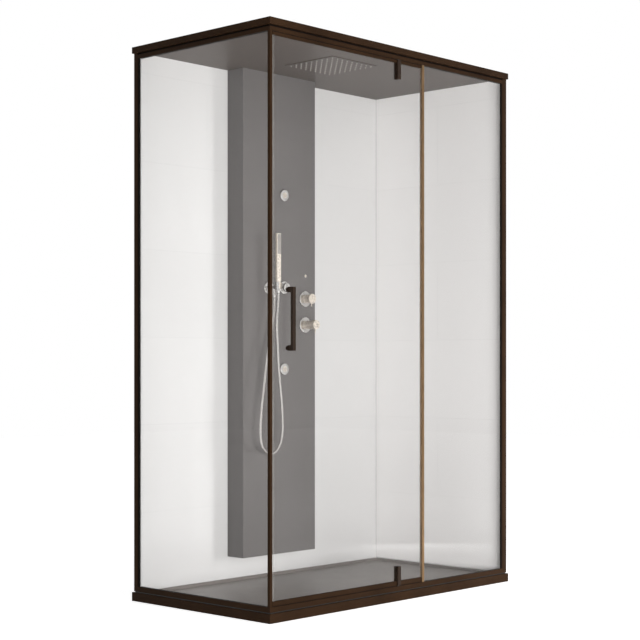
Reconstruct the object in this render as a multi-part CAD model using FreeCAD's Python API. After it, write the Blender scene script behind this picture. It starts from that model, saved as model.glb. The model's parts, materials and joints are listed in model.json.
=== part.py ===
import FreeCAD, Part
import math
import os

# Steam shower cabin. Millimetres. +Z up, origin on the floor under the centre of the plan.
# The door is on the -Y side, the glass side on -X, the two solid walls on +X and +Y.

Vec = FreeCAD.Vector
UP = Vec(0, 0, 1)
DOWN = Vec(0, 0, -1)
TO_FRONT = Vec(0, -1, 0)
TO_REAR = Vec(0, 1, 0)
TO_RIGHT = Vec(1, 0, 0)
TO_LEFT = Vec(-1, 0, 0)

# ---------------------------------------------------------------- driving dimensions
cabin_width = 1500.0
cabin_depth = 800.0
cabin_height = 2265.0

# trims, outermost all round
trim_overhang = 6.0
trim_wall = 3.0
plinth_height = 36.0
plinth_lip = 8.0
fascia_height = 26.0
fascia_flange = 26.0
fascia_ledge = 12.0
shadow_gap = 8.0

# tray
tray_height = 40.0
tray_corner = 5.0
rim_ledge_glass = 20.0
rim_ledge_wall = 10.0
rim_step = 12.0
floor_fall = 5.0
well_corner = 20.0
floor_inset = 6.0
rib_width = 14.0
pocket_depth = 10.0
pocket_columns = 6
pocket_rows = 3
waste_inset = 150.0
waste_hole = 90.0
waste_flange = 116.0
waste_flange_thickness = 2.5
waste_socket = 50.4
waste_socket_length = 14.0
waste_slots = 12
waste_slot = 3.2
waste_skirt = 4.0
waste_wall = 3.0

# frame profiles
profile_depth = 14.0
sill_height = 20.0
header_height = 15.0
edge_radius = 1.2
glass_thickness = 6.0
gasket_gap = 1.0
glass_setback = 7.0
groove_depth = 11.0
setting_gap = 2.0
near_post = 13.0
near_post_groove = 5.0
wall_channel_left_width = 22.0
wall_channel_right_width = 30.0
glass_channel_reveal = 13.0
glass_channel_nest = 10.0
channel_wall = 1.5
glass_bite = 6.0
frame_skin = 2.0
corner_angle_leg = 26.0

# solid walls
panel_thickness = 6.0
back_wall_thickness = 28.0
right_wall_thickness = 12.0
stud_width = 20.0
stud_wall = 1.5
batten_width = 40.0

# roof
ceiling_thickness = 5.0
joist_width = 30.0
roof_cover_thickness = 3.0

# door
pivot_x = 0.0
seam_x = 159.0
seam_width = 14.0
seam_depth = 14.0
door_gap = 3.0
latch_seal = 12.0
latch_gap = 0.5
trailing_seal = 6.0
trailing_gap = 1.0
seal_thickness = 8.0
rail_height_bottom = 17.5
rail_height_top = 11.0
rail_depth = 12.0
rail_end_gap = 2.0
rail_wall = 1.6
clamp_width = 20.0
clamp_height = 78.0
clamp_outer = 9.0
clamp_inner = 8.0
clamp_core = 12.0
clamp_core_height = 40.0
pivot_pin = 8.0
pivot_pin_length = 12.0
pivot_bush = 10.5
bush_flange = 13.0
running_fit = 0.05
clearance = 0.3

# pull handle on the door
handle_inset = 93.5
handle_z = 1140.0
handle_length = 242.0
handle_width = 16.0
handle_bar_depth = 12.0
handle_projection = 27.0
handle_foot = 21.0
handle_bolt = 8.0
handle_cap = 18.0
handle_cap_height = 5.0
handle_bolt_grip = 6.0

# services column on the back wall
column_x = -18.0
column_width = 450.0
column_depth = 95.0
column_bottom = 137.0
column_sheet = 2.5
column_radius = 4.0
chassis_sheet = 1.5
chassis_flange = 20.0

# fittings on the column's face
outlet_x = -90.0
outlet_z = 1300.0
jet_x = 5.0
jet_upper_z = 1712.0
jet_lower_z = 947.0
stop_z = 1306.0
knob_x = 138.0
diverter_z = 1260.0
mixer_z = 1144.0
button_x = 141.0
button_z = 1362.5

rosette_diameter = 57.0
rosette_thickness = 5.0
escutcheon_diameter = 72.0
escutcheon_bore = 34.0
escutcheon_thickness = 6.0
valve_diameter = 46.0
valve_rear = 20.0
valve_nose = 30.0
valve_nose_length = 10.0
valve_shoulder = 23.0
spindle_diameter = 18.0
spindle_reach = 22.0
barrel_diameter = 38.0
lever_diameter = 4.4
knob_groove = 2.0
diverter_cap = 44.0
diverter_cap_start = 36.0
diverter_front = 49.0
diverter_lever = 34.0
mixer_cap = 41.0
mixer_cap_start = 55.0
mixer_front = 74.0
mixer_lever = 38.0
inlet_diameter = 20.96
inlet_spacing = 84.0
inlet_length = 20.0
inlet_neck = 18.0
inlet_inset = 1.0
manifold_diameter = 24.0
manifold_end = 14.0
manifold_setback = 38.0

jet_flange = 52.0
jet_flange_thickness = 7.0
jet_ball = 28.0
jet_barrel = 36.0
jet_depth = 47.0
jet_chamber = 20.0
jet_chamber_length = 30.0
jet_holes = 6
jet_hole_diameter = 2.4

button_diameter = 10.0
button_bezel = 16.0
button_bezel_thickness = 2.0
button_travel = 2.0
switch_diameter = 13.0
switch_length = 24.0

arm_diameter = 18.0
cup_reach = 60.0
nipple_reach = 36.0
cup_diameter = 30.0
cup_height = 28.0
cup_slot = 15.0
cup_below_arm = 4.0
cup_taper = 1.5
nipple_length = 22.0
outlet_tail = 45.0
cone_top = 21.0
cone_bottom = 18.0

shower_width = 25.0
shower_thickness = 14.0
shower_bottom = 1328.0
shower_top = 1535.0
shower_radius = 4.0
spray_length = 86.0
spray_width = 20.0
spray_thickness = 1.5
spray_margin = 3.0
nut_diameter = 17.0
nut_length = 18.0
nut_cone = 8.0
nut_lip = 0.6

hose_diameter = 12.0

# rain head
rain_y = -33.0
rain_plate = 280.0
rain_plate_thickness = 2.5
rain_chamber = 250.0
rain_chamber_height = 16.0
rain_corner = 8.0
nozzle_pitch = 30.0
nozzle_count = 9
nozzle_length = 3.5
nozzle_root = 5.0
nozzle_tip = 3.2

# steam generator inside the column
tank_width = 330.0
tank_depth = 70.0
tank_bottom = 300.0
tank_height = 400.0
tank_radius = 12.0
control_width = 190.0
control_depth = 55.0
control_height = 120.0
control_inset = 10.0
control_radius = 4.0
steam_pipe = 22.0
steam_outlet = 60.0
steam_cap = 2.8
steam_cap_bevel = 6.0
steam_pipe_inset = 40.0
steam_pipe_rise = 60.0
steam_bend = 28.0
steam_inset = 30.0
pipe = 12.0
riser_drop = 290.0
riser_bend = 20.0
roof_elbow = 9.0
hand_bend = 15.0
hand_feed_depth = 30.0
gland_bore = 10.0
gland_hex = 22.0
gland_x = -150.0
gland_drop = 139.0
pipe_room = 2.0
cable_room = 3.0

# ---------------------------------------------------------------- derived sizes
half_width = cabin_width / 2
half_depth = cabin_depth / 2
waste_y = waste_inset - half_depth
frame_x = half_width - trim_overhang
frame_y = half_depth - trim_overhang
tray_x = half_width - plinth_lip
tray_y = half_depth - plinth_lip
sill_top = tray_height + sill_height
header_top = cabin_height - fascia_height - shadow_gap
header_bottom = header_top - header_height
ceiling_z = header_top + shadow_gap
gland_z = ceiling_z - gland_drop
riser_turn_z = ceiling_z - riser_drop
groove = glass_thickness + 2 * gasket_gap
front_glass_y = -frame_y + glass_setback
left_glass_x = -frame_x + glass_setback
outer_glass_face = front_glass_y - glass_thickness / 2
inner_glass_face = front_glass_y + glass_thickness / 2
glass_low = sill_top - groove_depth + setting_gap
glass_high = header_bottom + groove_depth - setting_gap
groove_near = glass_setback - groove / 2
groove_far = glass_setback + groove / 2

wall_y = frame_y - back_wall_thickness
wall_x = frame_x - right_wall_thickness
stud_y = wall_y + panel_thickness
batten_x = wall_x + panel_thickness
left_channel_edge = frame_y - wall_channel_left_width
right_channel_edge = frame_x - wall_channel_right_width
column_front = wall_y - column_depth
column_left = column_x - column_width / 2
column_right = column_x + column_width / 2

flange_thickness = door_gap - clearance
door_bottom = sill_top + door_gap
door_top = header_bottom - door_gap
door_glass_low = door_bottom + rail_wall + setting_gap
door_glass_high = door_top - rail_wall - setting_gap
post_face = -frame_x + near_post
latch_edge = post_face + latch_gap
handle_x = latch_edge + handle_inset
door_glass_left = latch_edge + latch_seal
seam_left = seam_x - seam_width / 2
trailing_edge = seam_left - trailing_gap
door_glass_right = trailing_edge - trailing_seal
fixed_glass_left = seam_left + seam_width / 2
fixed_glass_right = right_channel_edge + glass_bite
left_glass_rear = left_channel_edge + glass_bite
left_glass_front = -frame_y + near_post - near_post_groove + gasket_gap

rim_left = -frame_x + profile_depth + rim_ledge_glass
rim_right = wall_x - rim_ledge_wall
rim_front = -frame_y + profile_depth + rim_ledge_glass
rim_rear = wall_y - rim_ledge_wall
floor_edge_z = tray_height - rim_step
floor_low_z = floor_edge_z - floor_fall

parts = {}


# ---------------------------------------------------------------- helpers
def box(x0, x1, y0, y1, z0, z1):
    return Part.makeBox(x1 - x0, y1 - y0, z1 - z0, Vec(x0, y0, z0))


def rod(diameter, base, direction, length):
    return Part.makeCylinder(diameter / 2, length, base, direction)


def outline(corners):
    """Closed wire in the XY plane through (x, y) or (x, y, r) corners, each rounded by its own r."""
    places = [Vec(corner[0], corner[1], 0) for corner in corners]
    stops = []
    for index, corner in enumerate(corners):
        here = places[index]
        if len(corner) < 3:
            stops.append((here, None, here))
            continue
        back = (places[index - 1] - here).normalize()
        ahead = (places[(index + 1) % len(places)] - here).normalize()
        half = back.getAngle(ahead) / 2
        bisector = (back + ahead).normalize()
        tangent = corner[2] / math.tan(half)
        middle = here + bisector * (corner[2] / math.sin(half) - corner[2])
        stops.append((here + back * tangent, middle, here + ahead * tangent))
    edges = []
    for index, (start, middle, end) in enumerate(stops):
        if middle is not None:
            edges.append(Part.Arc(start, middle, end).toShape())
        following = stops[(index + 1) % len(stops)][0]
        if end.distanceToPoint(following) > 1e-6:
            edges.append(Part.LineSegment(end, following).toShape())
    return Part.Wire(edges)


def rounded_rectangle(x0, x1, y0, y1, radius):
    return [(x0, y0, radius), (x1, y0, radius), (x1, y1, radius), (x0, y1, radius)]


def slab(corners, z0, z1):
    """Upright prism over an outline."""
    face = Part.Face(outline(corners))
    face.translate(Vec(0, 0, z0))
    return face.extrude(Vec(0, 0, z1 - z0))


def turned(corners, origin, axis):
    """Solid of revolution: corners are (radius, distance along the axis)."""
    face = Part.Face(outline(corners))
    face.rotate(Vec(0, 0, 0), Vec(1, 0, 0), 90)
    solid = face.revolve(Vec(0, 0, 0), UP, 360)
    solid.Placement = FreeCAD.Placement(origin, FreeCAD.Rotation(UP, axis))
    return solid


def off_column(corners, x, z):
    """Turned piece on the column's face: distances run outwards from the face."""
    return turned(corners, Vec(x, column_front, z), TO_FRONT)


SIDES = {
    "front": (Vec(0, -1, 0), TO_REAR, TO_RIGHT),
    "rear": (Vec(0, 1, 0), TO_FRONT, TO_RIGHT),
    "left": (Vec(-1, 0, 0), TO_RIGHT, TO_REAR),
    "right": (Vec(1, 0, 0), TO_LEFT, TO_REAR),
}


def half_space(point, normal):
    """Everything near the cabin on the side of the point that the normal looks to."""
    reach = 2 * cabin_height
    block = Part.makeBox(2 * reach, 2 * reach, reach, Vec(-reach, -reach, 0))
    block.Placement = FreeCAD.Placement(point, FreeCAD.Rotation(UP, normal))
    return block


def rail(side, corners, setback, z0, start, end, mitre_start=False, mitre_end=False):
    """Extruded bar on one side of the plan. Corners are (inwards, up) from its outer lower edge."""
    outward, inward, along = SIDES[side]
    reach = half_depth if side in ("front", "rear") else half_width
    origin = outward * (reach - setback) + UP * z0
    face = Part.Face(outline(corners))
    face.Placement = FreeCAD.Placement(
        origin + along * start, FreeCAD.Rotation(inward, UP, inward.cross(UP), "XYZ")
    )
    bar = face.extrude(along * (end - start))
    if mitre_start:
        bar = bar.cut(half_space(origin + along * start, inward - along))
    if mitre_end:
        bar = bar.cut(half_space(origin + along * end, inward + along))
    return bar


def side_reach(side):
    return half_width if side in ("front", "rear") else half_depth


def pipe_run(points, diameter, bend):
    """Round bar along straight runs joined by tangent arcs; bend is one radius, or one for each corner."""
    corners = len(points) - 2
    bends = bend if isinstance(bend, list) else [bend] * corners
    edges = []
    start = points[0]
    for index in range(corners):
        before, here, after = points[index], points[index + 1], points[index + 2]
        back = (before - here).normalize()
        ahead = (after - here).normalize()
        half = back.getAngle(ahead) / 2
        tangent = bends[index] / math.tan(half)
        middle = here + (back + ahead).normalize() * (bends[index] / math.sin(half) - bends[index])
        arc_start = here + back * tangent
        arc_end = here + ahead * tangent
        if start.distanceToPoint(arc_start) > 1e-6:
            edges.append(Part.LineSegment(start, arc_start).toShape())
        edges.append(Part.Arc(arc_start, middle, arc_end).toShape())
        start = arc_end
    edges.append(Part.LineSegment(start, points[-1]).toShape())
    path = Part.Wire(edges)
    circle = Part.Wire([Part.Circle(points[0], points[1] - points[0], diameter / 2).toShape()])
    return path.makePipeShell([circle], True, False)


def keep(node, *solids):
    """One sub-part: one solid, or a group of separate ones."""
    flat = []
    for solid in solids:
        flat.extend(solid.Solids)
    parts[node] = flat[0] if len(flat) == 1 else Part.makeCompound(flat)


# ---------------------------------------------------------------- tray and waste
def rectangle_at(x0, x1, y0, y1, z):
    return Part.makePolygon(
        [Vec(x0, y0, z), Vec(x1, y0, z), Vec(x1, y1, z), Vec(x0, y1, z), Vec(x0, y0, z)]
    )


def shower_tray():
    body = slab(rounded_rectangle(-tray_x, tray_x, -tray_y, tray_y, tray_corner), 0, tray_height)
    rim = rounded_rectangle(rim_left, rim_right, rim_front, rim_rear, well_corner)
    well = slab(rim, floor_edge_z, tray_height + 1)
    seat = waste_flange / 2 + clearance
    fall = Part.makeLoft(
        [
            rectangle_at(
                rim_left + floor_inset, rim_right - floor_inset,
                rim_front + floor_inset, rim_rear - floor_inset, floor_edge_z,
            ),
            rectangle_at(-seat, seat, waste_y - seat, waste_y + seat, floor_low_z),
        ],
        True,
        True,
    )
    body = body.cut(well).cut(fall)
    seat_base = Vec(0, waste_y, floor_low_z - waste_flange_thickness)
    body = body.cut(rod(2 * seat, seat_base, UP, rim_step + floor_fall))
    body = body.cut(rod(waste_hole, Vec(0, waste_y, -1), UP, tray_height))
    pitch_x = (2 * tray_x - rib_width) / pocket_columns
    pitch_y = (2 * tray_y - rib_width) / pocket_rows
    for column in range(pocket_columns):
        for row in range(pocket_rows):
            x0 = -tray_x + rib_width + column * pitch_x
            y0 = -tray_y + rib_width + row * pitch_y
            pocket = box(x0, x0 + pitch_x - rib_width, y0, y0 + pitch_y - rib_width, -1, pocket_depth)
            collar = rod(waste_flange + 2 * rib_width, Vec(0, waste_y, -2), UP, pocket_depth + 3)
            body = body.cut(pocket.cut(collar))
    return body


keep("shower_tray", shower_tray())

waste_body_top = floor_low_z
waste_foot = 1.0
waste_cup = waste_hole / 2 - clearance
waste_well = waste_cup - waste_wall
socket_radius = waste_socket / 2
waste_profile = [
    (socket_radius, waste_foot),
    (waste_cup, waste_foot),
    (waste_cup, waste_body_top - waste_flange_thickness),
    (waste_flange / 2, waste_body_top - waste_flange_thickness),
    (waste_flange / 2, waste_body_top),
    (waste_well, waste_body_top),
    (waste_well, waste_foot + waste_wall),
    (socket_radius + waste_wall, waste_foot + waste_wall),
    (socket_radius + waste_wall, waste_foot + waste_socket_length),
    (socket_radius, waste_foot + waste_socket_length),
]
keep("waste_body", turned(waste_profile, Vec(0, waste_y, 0), UP))


def waste_cover():
    """Slotted disc, a little domed, with a skirt that drops into the waste."""
    radius = waste_flange / 2 - 2
    skirt = waste_well - clearance
    skirt_wall = 2.0
    rim = 1.5
    crown = 2.5
    z0 = waste_body_top + clearance
    profile = [
        (0, 0),
        (skirt - skirt_wall, 0),
        (skirt - skirt_wall, -waste_skirt),
        (skirt, -waste_skirt),
        (skirt, 0),
        (radius, 0),
        (radius, rim),
        (0, crown),
    ]
    cover = turned(profile, Vec(0, waste_y, z0), UP)
    slot = box(0.35 * radius, 0.66 * radius, -waste_slot / 2, waste_slot / 2, -1, crown + 1)
    for index in range(waste_slots):
        cutter = slot.copy()
        cutter.rotate(Vec(0, 0, 0), UP, index * 360 / waste_slots)
        cutter.translate(Vec(0, waste_y, z0))
        cover = cover.cut(cutter)
    return cover


keep("waste_cover", waste_cover())

# ---------------------------------------------------------------- plinth and fascia trims
plinth_section = [
    (0, 0),
    (trim_wall, 0),
    (trim_wall, plinth_height - trim_wall),
    (plinth_lip, plinth_height - trim_wall),
    (plinth_lip, plinth_height),
    (0, plinth_height, edge_radius),
]
fascia_section = [
    (0, 0, edge_radius),
    (fascia_ledge, 0),
    (fascia_ledge, trim_wall),
    (trim_wall, trim_wall),
    (trim_wall, fascia_height - trim_wall),
    (fascia_flange, fascia_height - trim_wall),
    (fascia_flange, fascia_height),
    (0, fascia_height, edge_radius),
]
keep(
    "plinth_trim",
    *[
        rail(side, plinth_section, 0, 0, -side_reach(side), side_reach(side), True, True)
        for side in SIDES
    ],
)
keep(
    "roof_fascia",
    *[
        rail(side, fascia_section, 0, ceiling_z, -side_reach(side), side_reach(side), True, True)
        for side in SIDES
    ],
)

# ---------------------------------------------------------------- sills, headers and posts
sill_section = [
    (0, 0),
    (profile_depth, 0),
    (profile_depth, sill_height, edge_radius),
    (groove_far, sill_height),
    (groove_far, sill_height - groove_depth),
    (groove_near, sill_height - groove_depth),
    (groove_near, sill_height),
    (0, sill_height, edge_radius),
]
header_section = [
    (0, 0, edge_radius),
    (groove_near, 0),
    (groove_near, groove_depth),
    (groove_far, groove_depth),
    (groove_far, 0),
    (profile_depth, 0, edge_radius),
    (profile_depth, header_height),
    (0, header_height),
]
bush_seat = Vec(pivot_x, front_glass_y, sill_top)
bush_high = Vec(pivot_x, front_glass_y, header_bottom)
low_hole = rod(pivot_bush, bush_seat - UP * groove_depth, UP, groove_depth + 1)
high_hole = rod(pivot_bush, bush_high - UP, UP, groove_depth + 1)

# the left bars stop at the rear wall channel, the front bars at the right one
front_span = (-frame_x, right_channel_edge, True)
left_span = (-frame_y, left_channel_edge, True)
front_sill = rail("front", sill_section, trim_overhang, tray_height, *front_span)
front_header = rail("front", header_section, trim_overhang, header_bottom, *front_span)
keep("sill_front", front_sill.cut(low_hole))
keep("sill_left", rail("left", sill_section, trim_overhang, tray_height, *left_span))
keep("header_front", front_header.cut(high_hole))
keep("header_left", rail("left", header_section, trim_overhang, header_bottom, *left_span))



def groove_filler(z0, z1, hole, flange_base):
    """Black strip that closes the groove and the gap under or over the door."""
    strip = box(post_face, seam_left, -frame_y + groove_near, -frame_y + groove_far, z0, z1)
    return strip.cut(hole).cut(rod(bush_flange, flange_base, UP, flange_thickness))


keep(
    "groove_fillers",
    groove_filler(sill_top - groove_depth, sill_top + flange_thickness, low_hole, bush_seat),
    groove_filler(
        header_bottom - flange_thickness, header_bottom + groove_depth, high_hole,
        bush_high - UP * flange_thickness,
    ),
)


def near_corner_post():
    corners = [
        (-frame_x, -frame_y, edge_radius),
        (post_face, -frame_y, edge_radius),
        (post_face, -frame_y + near_post),
        (-frame_x + groove_far, -frame_y + near_post),
        (-frame_x + groove_far, -frame_y + near_post - near_post_groove),
        (-frame_x + groove_near, -frame_y + near_post - near_post_groove),
        (-frame_x + groove_near, -frame_y + near_post),
        (-frame_x, -frame_y + near_post),
    ]
    return slab(corners, sill_top, header_bottom)


keep("near_post", near_corner_post())


def channel(depth, width, wall):
    """C section, (along the wall from the closed side, inwards from the frame's outer face)."""
    return [
        (0, 0, edge_radius),
        (width, 0),
        (width, wall),
        (wall, wall),
        (wall, depth - wall),
        (width, depth - wall),
        (width, depth),
        (0, depth, edge_radius),
    ]


def glass_channel():
    """Slotted bar nested in the wall channel: its outer lip shows, and its inner lip stays inside."""
    near = glass_setback - glass_thickness / 2 - clearance
    far = glass_setback + glass_thickness / 2 + clearance
    back = channel_wall
    front = profile_depth - channel_wall
    slot_end = glass_channel_nest - glass_bite - 1
    return [
        (0, back),
        (glass_channel_nest + glass_channel_reveal, back),
        (glass_channel_nest + glass_channel_reveal, near),
        (slot_end, near),
        (slot_end, far),
        (glass_channel_nest, far),
        (glass_channel_nest, front),
        (0, front),
    ]


def upright(corners, corner, along, inward, z0, z1):
    """Upright bar: corners are (along, inwards) from a corner of the frame's plan."""
    face = Part.Face(outline(corners))
    face.Placement = FreeCAD.Placement(
        corner + UP * z0, FreeCAD.Rotation(along, inward, along.cross(inward), "XYZ")
    )
    return face.extrude(UP * (z1 - z0))


rear_left_corner = Vec(-frame_x, frame_y, 0)
front_right_corner = Vec(frame_x, -frame_y, 0)
keep(
    "wall_channel_left",
    upright(
        channel(profile_depth, wall_channel_left_width, channel_wall),
        rear_left_corner, TO_FRONT, TO_RIGHT, tray_height, ceiling_z,
    ),
)
keep(
    "wall_channel_right",
    upright(
        channel(profile_depth, wall_channel_right_width, channel_wall),
        front_right_corner, TO_LEFT, TO_REAR, tray_height, ceiling_z,
    ),
)
left_start = wall_channel_left_width - glass_channel_nest
right_start = wall_channel_right_width - glass_channel_nest
keep(
    "glass_channels",
    upright(
        glass_channel(),
        rear_left_corner + TO_FRONT * left_start, TO_FRONT, TO_RIGHT, sill_top, header_bottom,
    ),
    upright(
        glass_channel(),
        front_right_corner + TO_LEFT * right_start, TO_LEFT, TO_REAR, sill_top, header_bottom,
    ),
)
angle_corners = [
    (frame_x - corner_angle_leg, frame_y - frame_skin),
    (frame_x - frame_skin, frame_y - frame_skin),
    (frame_x - frame_skin, frame_y - corner_angle_leg),
    (frame_x, frame_y - corner_angle_leg),
    (frame_x, frame_y, edge_radius),
    (frame_x - corner_angle_leg, frame_y),
]
keep("rear_corner_angle", slab(angle_corners, tray_height, ceiling_z))

# ---------------------------------------------------------------- glass
seam_profile = [
    (seam_left, -frame_y, edge_radius),
    (seam_left + seam_width, -frame_y, edge_radius),
    (seam_left + seam_width, -frame_y + groove_near),
    (fixed_glass_left - gasket_gap, -frame_y + groove_near),
    (fixed_glass_left - gasket_gap, -frame_y + groove_far),
    (seam_left + seam_width, -frame_y + groove_far),
    (seam_left + seam_width, -frame_y + seam_depth, edge_radius),
    (seam_left, -frame_y + seam_depth, edge_radius),
]
keep("seam_profile", slab(seam_profile, sill_top, header_bottom))

left_pane = box(
    left_glass_x - glass_thickness / 2, left_glass_x + glass_thickness / 2,
    left_glass_front, left_glass_rear, glass_low, glass_high,
)
# the pane is notched where the slim post stands between sill and header
for z0, z1 in ((0, sill_top), (header_bottom, cabin_height)):
    left_pane = left_pane.cut(box(-frame_x, post_face, -frame_y, -frame_y + profile_depth, z0, z1))
keep("glass_left", left_pane)
keep(
    "glass_fixed",
    box(fixed_glass_left, fixed_glass_right, outer_glass_face, inner_glass_face, glass_low, glass_high),
)


def door_pane():
    pane = box(
        door_glass_left, door_glass_right, outer_glass_face, inner_glass_face, door_glass_low, door_glass_high
    )
    notch = clamp_core / 2 + clearance
    for z0, z1 in (
        (door_glass_low - 1, door_bottom + clamp_core_height + clearance),
        (door_top - clamp_core_height - clearance, door_glass_high + 1),
    ):
        pane = pane.cut(box(pivot_x - notch, pivot_x + notch, outer_glass_face, inner_glass_face, z0, z1))
    for z in handle_bolt_heights:
        pane = pane.cut(rod(handle_bolt + 2, Vec(handle_x, outer_glass_face, z), TO_REAR, glass_thickness))
    return pane


handle_bolt_heights = [
    handle_z - handle_length / 2 + handle_foot / 2,
    handle_z + handle_length / 2 - handle_foot / 2,
]
keep("glass_door", door_pane())


def gaskets():
    strips = []
    proud = 1.5
    height = groove_depth - setting_gap
    face = glass_thickness / 2
    faces = ((-face - gasket_gap, -face), (face, face + gasket_gap))
    spans = (
        (sill_top - height, sill_top + proud),
        (header_bottom - proud, header_bottom + height),
    )
    for near, far in faces:
        for z0, z1 in spans:
            strips.append(
                box(
                    seam_left + seam_width, right_channel_edge - glass_channel_reveal,
                    front_glass_y + near, front_glass_y + far, z0, z1,
                )
            )
            strips.append(
                box(
                    left_glass_x + near, left_glass_x + far,
                    -frame_y + profile_depth, left_channel_edge - glass_channel_reveal, z0, z1,
                )
            )
    return strips


keep("glazing_gaskets", *gaskets())

# ---------------------------------------------------------------- door hardware
half_rail = rail_depth / 2
half_clamp = clamp_width / 2
rail_slot = glass_thickness / 2 + clearance / 2
rail_spans = (
    (latch_edge + rail_end_gap, pivot_x - half_clamp - clearance),
    (pivot_x + half_clamp + clearance, trailing_edge - rail_end_gap),
)


def door_rail(z, up, height):
    """Two U bars over the pane's edge, one each side of the clamp; up looks into the door."""
    section = [
        (-half_rail, 0),
        (half_rail, 0, edge_radius),
        (half_rail, height, edge_radius),
        (rail_slot, height),
        (rail_slot, rail_wall + setting_gap / 2),
        (-rail_slot, rail_wall + setting_gap / 2),
        (-rail_slot, height),
        (-half_rail, height, edge_radius),
    ]
    bars = []
    for x0, x1 in rail_spans:
        face = Part.Face(outline(section))
        face.Placement = FreeCAD.Placement(
            Vec(x0, front_glass_y, z), FreeCAD.Rotation(TO_REAR, up, TO_REAR.cross(up), "XYZ")
        )
        bars.append(face.extrude(TO_RIGHT * (x1 - x0)))
    return bars


keep("door_rail_bottom", *door_rail(door_bottom, UP, rail_height_bottom))
keep("door_rail_top", *door_rail(door_top, DOWN, rail_height_top))


def edge_seal(x0, x1):
    """Soft bulb seal pushed on the pane's edge, between the two rails."""
    half = seal_thickness / 2
    corners = rounded_rectangle(x0, x1, front_glass_y - half, front_glass_y + half, 2)
    return slab(
        corners, door_bottom + rail_height_bottom + clearance, door_top - rail_height_top - clearance
    )


keep(
    "door_edge_seals",
    edge_seal(latch_edge, door_glass_left),
    edge_seal(door_glass_right, trailing_edge),
)


def pivot_body(z_end, up):
    """Outer half of the pivot clamp with its core and pin; z_end is the door's end, up looks into it."""
    plate = slab(
        rounded_rectangle(
            pivot_x - half_clamp, pivot_x + half_clamp, outer_glass_face - clamp_outer, outer_glass_face, 1.5
        ),
        0, clamp_height,
    )
    core = box(
        pivot_x - clamp_core / 2, pivot_x + clamp_core / 2,
        outer_glass_face, inner_glass_face, 0, clamp_core_height,
    )
    pin = rod(pivot_pin, Vec(pivot_x, front_glass_y, -pivot_pin_length), UP, pivot_pin_length)
    whole = plate.fuse(core).fuse(pin).removeSplitter()
    if up.z < 0:
        whole = whole.mirror(Vec(0, 0, 0), UP)
    whole.translate(UP * z_end)
    return whole


def pivot_plate(z0, z1):
    corners = rounded_rectangle(
        pivot_x - half_clamp, pivot_x + half_clamp, inner_glass_face, inner_glass_face + clamp_inner, 1.5
    )
    return slab(corners, z0, z1)


keep("pivot_bodies", pivot_body(door_bottom, UP), pivot_body(door_top, DOWN))
keep(
    "pivot_plates",
    pivot_plate(door_bottom, door_bottom + clamp_height),
    pivot_plate(door_top - clamp_height, door_top),
)


def bush(origin, direction):
    """Flanged bush: pressed into the profile, its flange up to the door's clamp."""
    bore = pivot_pin / 2 + running_fit
    corners = [
        (bore, -flange_thickness),
        (bush_flange / 2, -flange_thickness),
        (bush_flange / 2, 0),
        (pivot_bush / 2, 0),
        (pivot_bush / 2, groove_depth),
        (bore, groove_depth),
    ]
    return turned(corners, origin, direction)


keep("pivot_bushes", bush(bush_seat, DOWN), bush(bush_high, UP))


def door_handle():
    low = handle_z - handle_length / 2
    high = handle_z + handle_length / 2
    corners = [
        (0, low),
        (handle_projection, low, 2),
        (handle_projection, high, 2),
        (0, high),
        (0, high - handle_foot),
        (handle_projection - handle_bar_depth, high - handle_foot, 3),
        (handle_projection - handle_bar_depth, low + handle_foot, 3),
        (0, low + handle_foot),
    ]
    face = Part.Face(outline(corners))
    face.Placement = FreeCAD.Placement(
        Vec(handle_x - handle_width / 2, outer_glass_face, 0),
        FreeCAD.Rotation(TO_FRONT, UP, TO_FRONT.cross(UP), "XYZ"),
    )
    return face.extrude(TO_RIGHT * handle_width)


def handle_bolt_at(z):
    return turned(
        [
            (0, -handle_bolt_grip),
            (handle_bolt / 2, -handle_bolt_grip),
            (handle_bolt / 2, glass_thickness),
            (handle_cap / 2, glass_thickness),
            (handle_cap / 2, glass_thickness + handle_cap_height, 1),
            (0, glass_thickness + handle_cap_height),
        ],
        Vec(handle_x, outer_glass_face, z),
        TO_REAR,
    )


pull = door_handle()
for z in handle_bolt_heights:
    pull = pull.cut(
        rod(handle_bolt, Vec(handle_x, outer_glass_face - handle_bolt_grip, z), TO_REAR, handle_bolt_grip)
    )
keep("door_handle", pull)
keep("handle_bolts", *[handle_bolt_at(z) for z in handle_bolt_heights])

# ---------------------------------------------------------------- solid walls
inlet_places = [knob_x - inlet_spacing / 2, knob_x + inlet_spacing / 2]
inlet_hole = inlet_diameter + 2 * pipe_room
cable_hole = gland_bore + 2 * cable_room


def back_panel():
    panel = box(-frame_x + profile_depth, batten_x, wall_y, stud_y, tray_height, ceiling_z)
    for x in inlet_places:
        panel = panel.cut(rod(inlet_hole, Vec(x, wall_y - 1, mixer_z), TO_REAR, panel_thickness + 2))
    return panel.cut(rod(cable_hole, Vec(gland_x, wall_y - 1, gland_z), TO_REAR, panel_thickness + 2))


keep("back_wall_panel", back_panel())


def tube_bar(x0, x1, y0, y1, z0, z1, axis):
    """Rectangular tube; axis is the way it runs."""
    grow = [stud_wall] * 3
    grow["xyz".index(axis)] = -1
    hollow = box(x0 + grow[0], x1 - grow[0], y0 + grow[1], y1 - grow[1], z0 + grow[2], z1 - grow[2])
    return box(x0, x1, y0, y1, z0, z1).cut(hollow)


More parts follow.
